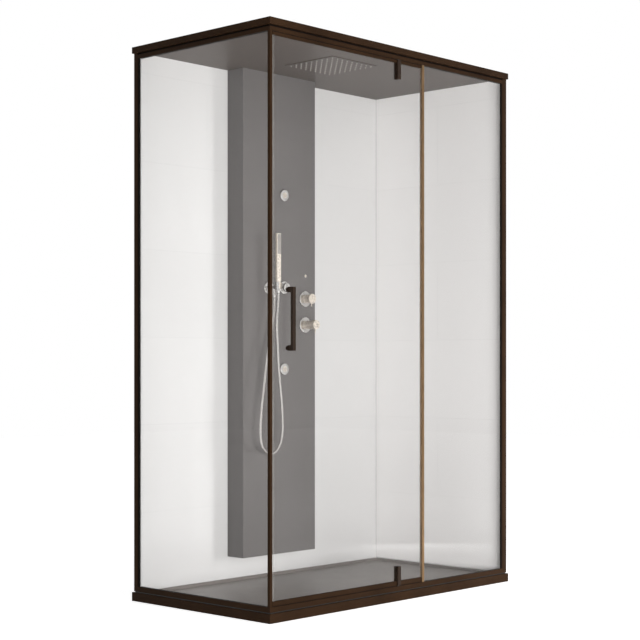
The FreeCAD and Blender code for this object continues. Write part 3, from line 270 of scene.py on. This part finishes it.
def white_wall(name, base):
    made = Surface(name, base, 0.2)
    made.set("Specular IOR Level", 0.3)
    joints = made.node("ShaderNodeTexBrick")
    joints.inputs["Scale"].default_value = 1.0
    joints.inputs["Mortar Size"].default_value = 0.0022
    joints.inputs["Mortar Smooth"].default_value = 0.6
    joints.inputs["Brick Width"].default_value = 0.72
    joints.inputs["Row Height"].default_value = 0.36
    joints.inputs["Color1"].default_value = (*base, 1.0)
    joints.inputs["Color2"].default_value = (*shade(base, 1.012), 1.0)
    joints.inputs["Mortar"].default_value = (*shade(base, 0.955), 1.0)
    split = made.node("ShaderNodeSeparateXYZ")
    made.link(made.place, split.inputs["Vector"])
    along = made.node("ShaderNodeMath", operation="ADD")
    made.link(split.outputs["X"], along.inputs[0])
    made.link(split.outputs["Y"], along.inputs[1])
    flat = made.node("ShaderNodeCombineXYZ")
    made.link(along.outputs["Value"], flat.inputs["X"])
    made.link(split.outputs["Z"], flat.inputs["Y"])
    made.link(flat.outputs["Vector"], joints.inputs["Vector"])
    made.link(joints.outputs["Color"], made.shader.inputs["Base Color"])
    made.gloss(made.noise(2.5), 0.13, 0.2)
    made.bump(made.noise(6.0, 1.0), 0.02, 0.002)
    return made.material


def satin_panel(name, base, scale=1400.0, low=0.38, high=0.5, depth=0.1, shine=0.5):
    made = Surface(name, base, 0.45)
    made.set("Specular IOR Level", shine)
    made.tint(made.noise(3.0, 2.0), shade(base, 0.96), shade(base, 1.04))
    grain = made.noise(scale, 2.0)
    made.gloss(grain, low, high)
    made.bump(grain, depth, 0.0001)
    return made.material


def tray_stone():
    """Warm grey stone, near black on the outer edge that shows in the groove over the plinth: painted shade
    for the shadow in that groove.
    """
    base = (0.205, 0.182, 0.168)
    made = Surface("tray_grey", base, 0.4)
    stone = made.ramp(made.noise(9.0, 5.0), shade(base, 0.9), shade(base, 1.1))
    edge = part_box("shower_tray")[1]
    # Painted shade: beyond the band the tray turns near black, standing in for the shadow in the groove over
    # the plinth.
    groove_shade = made.node("ShaderNodeMix", data_type="RGBA")
    made.link(made.outside(edge[0] - GROOVE_SHADE_BAND, edge[1] - GROOVE_SHADE_BAND), groove_shade.inputs["Factor"])
    made.link(stone, groove_shade.inputs[MIX_COLOUR_A])
    groove_shade.inputs[MIX_COLOUR_B].default_value = (0.006, 0.005, 0.004, 1.0)
    made.link(groove_shade.outputs[MIX_COLOUR_RESULT], made.shader.inputs["Base Color"])
    pebble = made.noise(260.0, 3.0)
    made.gloss(pebble, 0.34, 0.5)
    made.bump(pebble, 0.12, 0.0004)
    return made.material


def chrome(name, base):
    made = Surface(name, base, 0.06, 1.0)
    made.gloss(made.noise(25.0), 0.04, 0.11)
    return made.material


def satin_metal():
    base = (0.70, 0.63, 0.55)
    made = Surface("satin_metal", base, 0.28, 0.4)
    ring = made.noise(500.0, 2.0, (0.3, 1, 0.3))
    made.tint(ring, shade(base, 0.97), shade(base, 1.03))
    made.gloss(ring, 0.25, 0.32)
    return made.material


def brushed_steel():
    base = (0.50, 0.49, 0.47)
    made = Surface("stainless", base, 0.3, 1.0)
    brushed = made.noise(600.0, 2.0, (0.05, 1, 1))
    made.tint(brushed, shade(base, 0.88), shade(base, 1.08))
    made.gloss(brushed, 0.25, 0.4)
    return made.material


def clear_seal():
    """Soft clear strip: mostly what is behind it, with a milky share."""
    made = Surface("seal_clear", (0.42, 0.39, 0.36), 0.35)
    grain = made.noise(500.0)
    made.gloss(grain, 0.3, 0.42)
    made.bump(grain, 0.05, 0.0001)
    through = made.node("ShaderNodeBsdfTransparent")
    milky = made.node("ShaderNodeMixShader")
    milky.inputs["Fac"].default_value = 0.12
    made.link(through.outputs["BSDF"], milky.inputs[1])
    made.link(made.shader.outputs["BSDF"], milky.inputs[2])
    made.link(milky.outputs["Shader"], made.output.inputs["Surface"])
    return made.material


def hose_steel():
    made = Surface("hose_metal", (0.52, 0.50, 0.485), 0.22, 0.9)
    made.gloss(made.noise(400.0), 0.16, 0.3)
    return made.material


def rubber(name, base, roughness=0.6):
    made = Surface(name, base, roughness)
    grain = made.noise(900.0)
    made.tint(grain, shade(base, 0.85), shade(base, 1.15))
    made.gloss(grain, roughness - 0.08, roughness + 0.1)
    made.bump(grain, 0.1, 0.0001)
    return made.material


def galvanised():
    base = (0.42, 0.43, 0.44)
    made = Surface("galvanised", base, 0.45, 0.8)
    flakes = made.node("ShaderNodeTexVoronoi")
    flakes.inputs["Scale"].default_value = 120.0
    made.link(made.place, flakes.inputs["Vector"])
    made.tint(flakes.outputs["Distance"], shade(base, 0.85), shade(base, 1.1), 0.0, 0.6)
    made.gloss(made.noise(60.0), 0.36, 0.52)
    return made.material


def copper():
    base = (0.55, 0.27, 0.16)
    made = Surface("copper", base, 0.35, 1.0)
    made.tint(made.noise(30.0, 5.0), shade(base, 0.6), shade(base, 1.1))
    made.gloss(made.noise(80.0), 0.25, 0.5)
    return made.material


def cast_brass():
    base = (0.58, 0.42, 0.20)
    made = Surface("brass_metal", base, 0.4, 1.0)
    made.tint(made.noise(40.0, 5.0), shade(base, 0.8), shade(base, 1.1))
    made.bump(made.noise(700.0), 0.15, 0.0003)
    return made.material


FINISH = {
    "frame_bronze": bronze_frame(),
    "channel_black": black_channel(),
    "bronze_hardware": bronze_hardware(),
    "glass_clear": clear_glass(),
    "wall_white": white_wall("wall_white", (0.70, 0.694, 0.690)),
    "column_grey": satin_panel("column_grey", (0.122, 0.114, 0.111)),
    "ceiling_grey": satin_panel(
        "ceiling_grey", (0.092, 0.076, 0.067), scale=900.0, low=0.35, high=0.45, depth=0.04, shine=0.1
    ),
    "tray_grey": tray_stone(),
    "chrome": chrome("chrome", (0.60, 0.585, 0.57)),
    "satin_metal": satin_metal(),
    "stainless": brushed_steel(),
    "hose_metal": hose_steel(),
    "gasket_black": rubber("gasket_black", (0.02, 0.019, 0.018)),
    "seal_clear": clear_seal(),
    "spray_rubber": rubber("spray_rubber", (0.32, 0.30, 0.28)),
    "white_plastic": satin_panel("white_plastic", (0.70, 0.70, 0.69)),
    "black_plastic": rubber("black_plastic", (0.025, 0.025, 0.025), 0.45),
    "galvanised": galvanised(),
    "copper": copper(),
    "brass_metal": cast_brass(),
}


def dress_nodes():
    """Each CAD node takes the finish of the slot that the record gives it."""
    slots = {part["node"]: part["material_slot"] for part in frame["record"]["subparts"]}
    for name, node in NODES.items():
        node.data.materials.clear()
        node.data.materials.append(FINISH[slots[name]])
    dark = dark_handle()
    changed = {
        "door_handle": dark,
        "handle_bolts": dark,
        "pivot_bodies": dark,
        "pivot_plates": dark,
        "rain_head": FINISH["ceiling_grey"],
        # Painted reflection: the valve bodies take a darker copy of chrome, standing in for the dark
        # surroundings their barrels reflect.
        "valve_bodies": chrome("chrome_painted_dark_reflection", (0.27, 0.245, 0.225)),
        "door_edge_seals": FINISH["seal_clear"],
        # Painted shade: the roof spacers in the shadow gap under the fascia take the near-black channel
        # finish, standing in for the shade in that gap.
        "roof_spacers": FINISH["channel_black"],
        # Painted light: the right wall takes a much lighter copy of the wall white, standing in for the light
        # its shaded side doesn't get.
        "right_wall_panel": white_wall("wall_white_painted_light", (0.975, 0.963, 0.957)),
    }
    for name, finish in changed.items():
        NODES[name].data.materials.clear()
        NODES[name].data.materials.append(finish)


# ---------------------------------------------------------------- mesh helpers
def add_piece(name, mesh, body, slot, smooth=True):
    """A finished mesh becomes a piece that rides on a body in the finish of a slot."""
    bm = bmesh.new()
    bm.from_mesh(mesh)
    bmesh.ops.recalc_face_normals(bm, faces=bm.faces)
    bm.to_mesh(mesh)
    bm.free()
    piece = bpy.data.objects.new(name, mesh)
    bpy.context.collection.objects.link(piece)
    piece.data.materials.append(FINISH[slot])
    for polygon in mesh.polygons:
        polygon.use_smooth = smooth
    if body is not None:
        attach(piece, body)
    return piece


def mesh_from(name, verts, faces):
    mesh = bpy.data.meshes.new(name)
    mesh.from_pydata(verts, [], faces)
    mesh.update()
    return mesh


def across(axis):
    """Two directions square to an axis and to each other."""
    first = axis.cross(Vector((0.31, 0.17, 0.93))).normalized()
    return first, axis.cross(first)


def round_point(centre, sides, angle, radius):
    """Point at an angle on a circle that lies in two square directions."""
    return centre + sides[0] * math.cos(angle) * radius + sides[1] * math.sin(angle) * radius


class Mass:
    """Verts and faces of many small bodies that make one piece."""

    def __init__(self):
        self.verts = []
        self.faces = []

    def loft(self, rings, closed=False):
        """Skin over equal rings of points; open ends are capped."""
        start = len(self.verts)
        count = len(rings[0])
        for ring in rings:
            self.verts.extend(ring)
        steps = len(rings) if closed else len(rings) - 1
        for step in range(steps):
            near = start + step * count
            far = start + (step + 1) % len(rings) * count
            for index in range(count):
                following = (index + 1) % count
                self.faces.append((near + index, near + following, far + following, far + index))
        if not closed:
            self.faces.append(tuple(start + index for index in range(count)))
            self.faces.append(tuple(start + (len(rings) - 1) * count + index for index in range(count)))

    def turn(self, profile, place, axis, sides=16):
        """Turned body from (radius, distance along the axis) points."""
        square = across(axis)
        rings = []
        for radius, along in profile:
            centre = place + axis * along
            rings.append([
                round_point(centre, square, 2 * math.pi * index / sides, radius) for index in range(sides)
            ])
        self.loft(rings)

    def socket_screw(self, place, axis, radius):
        """Low domed screw head with a hexagonal socket."""
        square = across(axis)
        sides = 24
        height = 0.45 * radius
        rings = []
        for share, lift in ((1.0, 0.0), (0.97, 0.45), (0.82, 0.85), (0.6, 1.0)):
            centre = place + axis * height * lift
            rings.append([
                round_point(centre, square, 2 * math.pi * index / sides, radius * share)
                for index in range(sides)
            ])
        half_flat = math.pi / 6
        for lift in (1.0, 0.35):
            centre = place + axis * height * lift
            ring = []
            for index in range(sides):
                angle = 2 * math.pi * index / sides
                off_flat = (angle + half_flat) % (math.pi / 3) - half_flat
                reach = 0.46 * radius * math.cos(half_flat) / math.cos(off_flat)
                ring.append(round_point(centre, square, angle, reach))
            rings.append(ring)
        self.loft(rings)

    def piece(self, name, body, slot, smooth=True):
        add_piece(name, mesh_from(name, self.verts, self.faces), body, slot, smooth)


# ---------------------------------------------------------------- sprays
RAIN_PITCH = 0.030
RAIN_COUNT = 9
RAIN_NOZZLE_DROP = 0.0035
SPRAY_PITCH = 0.0046
SPRAY_COLUMNS = 4
SPRAY_ROWS = 17
SPRAY_STRETCH = 1.06
JET_RING = 0.006
JET_HOLES = 6
JET_COLLAR_SIDES = 12


def rain_tips():
    """Soft tips pushed over the rain head's nozzles."""
    low, high = (Vector(corner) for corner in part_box("rain_head"))
    tips = Mass()
    first = -RAIN_PITCH * (RAIN_COUNT - 1) / 2
    middle = (low + high) / 2
    profile = [
        (0.0040, 0.0), (0.0038, 0.0006), (0.0031, 0.0009),
        (0.0026, 0.0042), (0.0021, 0.0048), (0.0009, 0.0048),
    ]
    face = low.z + RAIN_NOZZLE_DROP
    for column in range(RAIN_COUNT):
        for row in range(RAIN_COUNT):
            x = middle.x + first + column * RAIN_PITCH
            y = middle.y + first + row * RAIN_PITCH
            tips.turn(profile, Vector((x, y, face)), DOWN, 12)
    tips.piece("rain_tips", "cabin", "spray_rubber")


def spray_nubs():
    """Soft nubs on the face of the hand shower."""
    low, high = (Vector(corner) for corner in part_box("spray_plate"))
    nubs = Mass()
    middle = (low + high) / 2
    profile = [(0.0012, -0.0002), (0.00115, 0.0008), (0.0009, 0.0012), (0.0004, 0.0012)]
    for column in range(SPRAY_COLUMNS):
        for row in range(SPRAY_ROWS):
            x = middle.x + (column - (SPRAY_COLUMNS - 1) / 2) * SPRAY_PITCH
            z = middle.z + (row - (SPRAY_ROWS - 1) / 2) * SPRAY_PITCH * SPRAY_STRETCH
            nubs.turn(profile, Vector((x, low.y, z)), TO_FRONT, 10)
    nubs.piece("spray_nubs", "hand_shower", "spray_rubber")


def jet_tips(node, body):
    """Soft collars round the spray holes of a jet."""
    low, high = (Vector(corner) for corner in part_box(node))
    middle = (low + high) / 2
    collars = Mass()
    for index in range(JET_HOLES):
        angle = 2 * math.pi * index / JET_HOLES
        place = Vector((middle.x + JET_RING * math.cos(angle), low.y, middle.z + JET_RING * math.sin(angle)))
        square = across(TO_FRONT)
        turns = [2 * math.pi * step / JET_COLLAR_SIDES for step in range(JET_COLLAR_SIDES)]
        rings = []
        for radius, lift in ((0.0024, 0.0), (0.0022, 0.0009), (0.0014, 0.0009), (0.0013, -0.001)):
            rings.append([round_point(place + TO_FRONT * lift, square, turn, radius) for turn in turns])
        collars.loft(rings, closed=True)
    collars.piece(node + "_tips", body, "spray_rubber")


# ---------------------------------------------------------------- grips
KNURL_DEPTH = 0.00035
KNURL_SINK = 0.0012
def knurl(node, body, middle_y, radius, width):
    """Fine straight knurl round a knob's cap."""
    low, high = (Vector(corner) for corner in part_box(node))
    centre = Vector((low.x + (high.x - low.x) / 2, middle_y, high.z - radius))
    ribs = 60
    per_rib = 4
    corners = ribs * per_rib
    rings = []
    for along, proud in ((-0.5, 0.0), (-0.46, 1.0), (0.46, 1.0), (0.5, 0.0)):
        ring = []
        for index in range(corners):
            angle = 2 * math.pi * index / corners
            crest = (0.0, 1.0, 1.0, 0.0)[index % per_rib]
            reach = radius + KNURL_DEPTH * proud * crest
            ring.append(Vector((
                centre.x + reach * math.cos(angle),
                centre.y + along * width,
                centre.z + reach * math.sin(angle),
            )))
        rings.append(ring)
    inner = radius - KNURL_SINK
    for along in (0.5, -0.5):
        rings.append([
            Vector((
                centre.x + inner * math.cos(2 * math.pi * index / corners),
                centre.y + along * width,
                centre.z + inner * math.sin(2 * math.pi * index / corners),
            ))
            for index in range(corners)
        ])
    band = Mass()
    band.loft(rings, closed=True)
    band.piece(node + "_knurl", body, "satin_metal", False)


def nut_flutes(node, body):
    """Raised grip ribs round a hose nut's wide end."""
    low, high = (Vector(corner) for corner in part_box(node))
    middle = (low + high) / 2
    radius = (high.x - low.x) / 2
    ribs = Mass()
    count = 14
    for index in range(count):
        angle = 2 * math.pi * index / count
        outward = Vector((math.cos(angle), math.sin(angle), 0))
        foot = Vector((middle.x, middle.y, high.z - 0.0085)) + outward * (radius - 0.0003)
        ribs.turn([(0.0004, 0.0), (0.0008, 0.0006), (0.0008, 0.0066), (0.0004, 0.0072)], foot, UP, 8)
    ribs.piece(node + "_flutes", body, "chrome")


# ---------------------------------------------------------------- screws
CLAMP_SCREWS = (0.050, 0.066)
JOIST_MIDDLES = (-0.5625, -0.225, 0.195, 0.5625)
def screws(name, places, axis, radius, body, slot):
    heads = Mass()
    for place in places:
        heads.socket_screw(Vector(place), axis, radius)
    heads.piece(name, body, slot)


def hardware_screws():
    low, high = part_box("pivot_plates")
    middle = (low[0] + high[0]) / 2
    spots = []
    for end, way in ((low[2], 1), (high[2], -1)):
        for reach in CLAMP_SCREWS:
            spots.append((middle, high[1], end + way * reach))
    screws("pivot_screws", spots, TO_REAR, 0.0042, "door", "bronze_hardware")
    low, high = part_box("column_end_caps")
    inset = 0.018
    spots = [
        (x, y, low[2])
        for x in (low[0] + inset, (low[0] + high[0]) / 2)
        for y in (low[1] + inset, high[1] - inset)
    ]
    screws("cap_screws", spots, DOWN, 0.0040, "cabin", "stainless")


def roof_screws():
    low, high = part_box("roof_cover")
    rows = 5
    inset = 0.03
    spots = []
    for x in JOIST_MIDDLES:
        for row in range(rows):
            y = low[1] + inset + row * (high[1] - low[1] - 2 * inset) / (rows - 1)
            spots.append((x, y, high[2]))
    screws("roof_screws", spots, UP, 0.0050, "cabin", "galvanised")


def frame_screws():
    """Screws that hold the rear bars to one another, seen from behind and from the right."""
    low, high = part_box("wall_studs")
    rows = 6
    spots = []
    bar = 0.010
    inset = 0.05
    for z in (low[2] + bar, high[2] - bar):
        for step in range(rows):
            x = low[0] + inset + step * (high[0] - low[0] - 2 * inset) / (rows - 1)
            spots.append((x, high[1], z))
    screws("rear_screws", spots, TO_REAR, 0.0040, "cabin", "galvanised")


# ---------------------------------------------------------------- sealant
def quarter_bead(run, place_at, size):
    """Hollow-faced bead in a right-angled corner along a straight run."""
    rings = []
    steps = 6
    for end in run:
        ring = [place_at(end, 0, 0)]
        for step in range(steps + 1):
            angle = math.pi / 2 * step / steps
            ring.append(place_at(end, size * (1 - 0.8 * math.sin(angle)), size * (1 - 0.8 * math.cos(angle))))
        rings.append(ring)
    return rings


def sealant():
    """White beads where the tray and left pane meet the walls, and grey ones beside the column."""
    tray_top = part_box("shower_tray")[1][2]
    wall_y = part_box("back_wall_panel")[0][1]
    wall_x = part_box("right_wall_panel")[0][0]
    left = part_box("back_wall_panel")[0][0]
    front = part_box("right_wall_panel")[0][1]
    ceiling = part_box("ceiling_panel")[0][2]
    column_low, column_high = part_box("column_cover")
    size = 0.0045
    beads = Mass()
    beads.loft(quarter_bead((left, wall_x), lambda e, a, b: Vector((e, wall_y - a, tray_top + b)), size))
    beads.loft(quarter_bead((front, wall_y), lambda e, a, b: Vector((wall_x - a, e, tray_top + b)), size))
    beads.loft(quarter_bead((tray_top, ceiling), lambda e, a, b: Vector((wall_x - a, wall_y - b, e)), size))
    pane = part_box("glass_left")[1][0]
    shown = (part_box("sill_left")[1][2], ceiling)
    beads.loft(quarter_bead(shown, lambda e, a, b: Vector((pane + a, wall_y - b, e)), size))
    beads.piece("wall_sealant", "cabin", "wall_white", False)
    joints = Mass()
    height = (column_low[2], ceiling)
    small = 0.003
    joints.loft(quarter_bead(height, lambda e, a, b: Vector((column_low[0] - a, wall_y - b, e)), small))
    joints.loft(quarter_bead(height, lambda e, a, b: Vector((column_high[0] + a, wall_y - b, e)), small))
    joints.piece("column_sealant", "cabin", "column_grey", False)


# ---------------------------------------------------------------- hose
HOSE_DIAMETER = 0.012
HOSE_ROUTE = [
    (-0.090, 0.235, 1.260),
    (-0.090, 0.235, 1.222),
    (-0.097, 0.234, 1.172),
    (-0.115, 0.231, 1.112),
    (-0.137, 0.226, 1.045),
    (-0.156, 0.220, 0.965),
    (-0.173, 0.215, 0.880),
    (-0.189, 0.212, 0.798),
    (-0.199, 0.211, 0.722),
    (-0.199, 0.211, 0.656),
    (-0.191, 0.211, 0.617),
    (-0.166, 0.211, 0.588),
    (-0.129, 0.211, 0.580),
    (-0.095, 0.211, 0.597),
    (-0.075, 0.211, 0.629),
    (-0.065, 0.211, 0.670),
    (-0.064, 0.211, 0.726),
    (-0.069, 0.211, 0.798),
    (-0.080, 0.211, 0.880),
    (-0.091, 0.210, 0.966),
    (-0.096, 0.210, 1.048),
    (-0.101, 0.210, 1.120),
    (-0.099, 0.210, 1.184),
    (-0.090, 0.211, 1.237),
    (-0.090, 0.211, 1.2777),
]
HOSE_WINDING = 0.0042
HOSE_RIDGE = 0.0005
HOSE_STEPS = 4
HOSE_SIDES = 14


def route_points(name, route):
    """Points along the smooth line through a route, read from its own spline."""
    curve = bpy.data.curves.new(name, "CURVE")
    curve.dimensions = "3D"
    curve.resolution_u = 24
    spline = curve.splines.new("NURBS")
    spline.points.add(len(route) - 1)
    for point, place in zip(spline.points, route):
        point.co = (*place, 1.0)
    spline.order_u = 3
    spline.use_endpoint_u = True
    line = bpy.data.objects.new(name, curve)
    bpy.context.collection.objects.link(line)
    bpy.context.view_layer.update()
    mesh = bpy.data.meshes.new_from_object(line)
    points = [vertex.co.copy() for vertex in mesh.vertices]
    bpy.data.objects.remove(line)
    return points


def spaced(points, step):
    """The same line with points an even step apart."""
    lengths = [(b - a).length for a, b in zip(points, points[1:])]
    total = sum(lengths)
    count = max(2, round(total / step))
    wanted = [total * index / count for index in range(count + 1)]
    result = []
    travelled = 0.0
    index = 0
    for goal in wanted:
        while index < len(lengths) - 1 and travelled + lengths[index] < goal:
            travelled += lengths[index]
            index += 1
        share = (goal - travelled) / lengths[index]
        result.append(points[index].lerp(points[index + 1], min(1.0, share)))
    return result


def shower_hose():
    """Wound steel hose that hangs from the wall outlet and bends near the hand shower."""
    line = route_points("hose_line", HOSE_ROUTE)
    path = spaced(line, HOSE_WINDING / HOSE_STEPS)
    verts = []
    faces = []
    side = Vector((0, 1, 0))
    radius = HOSE_DIAMETER / 2
    for index, place in enumerate(path):
        ahead = path[min(index + 1, len(path) - 1)] - path[max(index - 1, 0)]
        ahead.normalize()
        side = (side - ahead * side.dot(ahead)).normalized()
        other = ahead.cross(side)
        for corner in range(HOSE_SIDES):
            turn = 2 * math.pi * corner / HOSE_SIDES
            wave = math.cos(2 * math.pi * index / HOSE_STEPS - turn)
            reach = radius - HOSE_RIDGE * (0.5 - 0.5 * wave)
            verts.append(place + side * math.cos(turn) * reach + other * math.sin(turn) * reach)
    for index in range(len(path) - 1):
        for corner in range(HOSE_SIDES):
            a = index * HOSE_SIDES + corner
            b = index * HOSE_SIDES + (corner + 1) % HOSE_SIDES
            faces.append((a, b, b + HOSE_SIDES, a + HOSE_SIDES))
    faces.append(tuple(range(HOSE_SIDES)))
    faces.append(tuple(range(len(verts) - HOSE_SIDES, len(verts))))
    piece = add_piece("hose_winding", mesh_from("hose_winding", verts, faces), None, "hose_metal")
    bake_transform(piece)
    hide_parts("shower_hose")


# ---------------------------------------------------------------- studio
GLASS_SIDE_LEVEL = 0.05
RIGHT_SIDE_LEVEL = 0.40
FLOOR_GLOW_LIT = 0.14
FLOOR_GLOW_SEEN = 0.72


def seen_directly(tree):
    """1 for rays from the camera, off gloss or through glass, 0 for the rays that light the object."""
    path = tree.nodes.new("ShaderNodeLightPath")
    seen = path.outputs["Is Camera Ray"]
    for ray in ("Is Glossy Ray", "Is Transmission Ray"):
        larger = tree.nodes.new("ShaderNodeMath")
        larger.operation = "MAXIMUM"
        tree.links.new(seen, larger.inputs[0])
        tree.links.new(path.outputs[ray], larger.inputs[1])
        seen = larger.outputs["Value"]
    return seen


def studio():
    """White floor that shows the shadow, and the room round it."""
    floor = bpy.data.meshes.new("floor")
    reach = 12.0
    corners = [(-reach, -reach, 0), (reach, -reach, 0), (reach, reach, 0), (-reach, reach, 0)]
    floor.from_pydata(corners, [], [(0, 1, 2, 3)])
    plane = bpy.data.objects.new("floor", floor)
    bpy.context.collection.objects.link(plane)
    made = Surface("floor_white", (0.9, 0.9, 0.9), 0.9)
    made.tint(made.noise(2.0), (0.89, 0.89, 0.89), (0.91, 0.91, 0.91))
    made.set("Emission Color", (1, 1, 1, 1))
    glow = made.node("ShaderNodeMapRange")
    glow.inputs["To Min"].default_value = FLOOR_GLOW_LIT
    glow.inputs["To Max"].default_value = FLOOR_GLOW_SEEN
    made.link(seen_directly(made.tree), glow.inputs["Value"])
    made.link(glow.outputs["Result"], made.shader.inputs["Emission Strength"])
    plane.data.materials.append(made.material)
    bpy.context.scene.world = soft_room()


def soft_room():
    """White room, with less light from the glass side than from the right."""
    world = bpy.data.worlds.new("studio")
    world.use_nodes = True
    tree = world.node_tree
    sky = tree.nodes["Background"]
    sky.inputs["Color"].default_value = (1.0, 1.0, 1.0, 1.0)
    direction = tree.nodes.new("ShaderNodeTexCoord")
    split = tree.nodes.new("ShaderNodeSeparateXYZ")
    tree.links.new(direction.outputs["Generated"], split.inputs["Vector"])
    fall = tree.nodes.new("ShaderNodeMapRange")
    fall.interpolation_type = "SMOOTHSTEP"
    fall.inputs["From Min"].default_value = -0.9
    fall.inputs["From Max"].default_value = 0.3
    fall.inputs["To Min"].default_value = GLASS_SIDE_LEVEL
    fall.inputs["To Max"].default_value = RIGHT_SIDE_LEVEL
    tree.links.new(split.outputs["X"], fall.inputs["Value"])
    level = tree.nodes.new("ShaderNodeMix")
    tree.links.new(seen_directly(tree), level.inputs["Factor"])
    tree.links.new(fall.outputs["Result"], level.inputs["A"])
    level.inputs["B"].default_value = 1.0
    tree.links.new(level.outputs["Result"], sky.inputs["Strength"])
    return world


def area_light(name, place, target, size, power):
    data = bpy.data.lights.new(name, "AREA")
    data.shape = "RECTANGLE"
    data.size, data.size_y = size
    data.energy = power
    lamp = bpy.data.objects.new(name, data)
    lamp.location = place
    lamp.rotation_euler = (Vector(target) - Vector(place)).to_track_quat("-Z", "Y").to_euler()
    lamp.visible_glossy = False
    bpy.context.collection.objects.link(lamp)


add_camera()
bpy.context.scene.view_settings.view_transform = "Standard"
dress_nodes()
rain_tips()
spray_nubs()
jet_tips("jet_nozzle_upper", "jet_upper")
jet_tips("jet_nozzle_lower", "jet_lower")
knurl("diverter_knob", "diverter_knob", 0.2285, 0.022, 0.0090)
knurl("mixer_knob", "mixer_knob", 0.2065, 0.0205, 0.0130)
nut_flutes("hose_nut_wall", "cabin")
nut_flutes("hose_nut_shower", "hand_shower")
hardware_screws()
roof_screws()
frame_screws()
sealant()
shower_hose()
studio()
area_light("key", place=(3.8, -3.7, 1.9), target=(0.0, 0.2, 1.2), size=(1.4, 1.4), power=48)
area_light("fill", place=(-1.9, -4.8, 0.8), target=(0.7, 0.2, 0.9), size=(2.4, 2.0), power=35)
area_light("low_fill", place=(-1.9, -4.8, 0.45), target=(0.7, 0.0, 0.2), size=(2.4, 0.8), power=185)
area_light("low_right", place=(1.5, -1.6, 0.3), target=(0.4, -0.4, 0.1), size=(0.6, 0.4), power=14)
area_light("glass_side", place=(-3.6, -2.6, 1.0), target=(0.7, 0.0, 1.0), size=(2.0, 1.8), power=22)
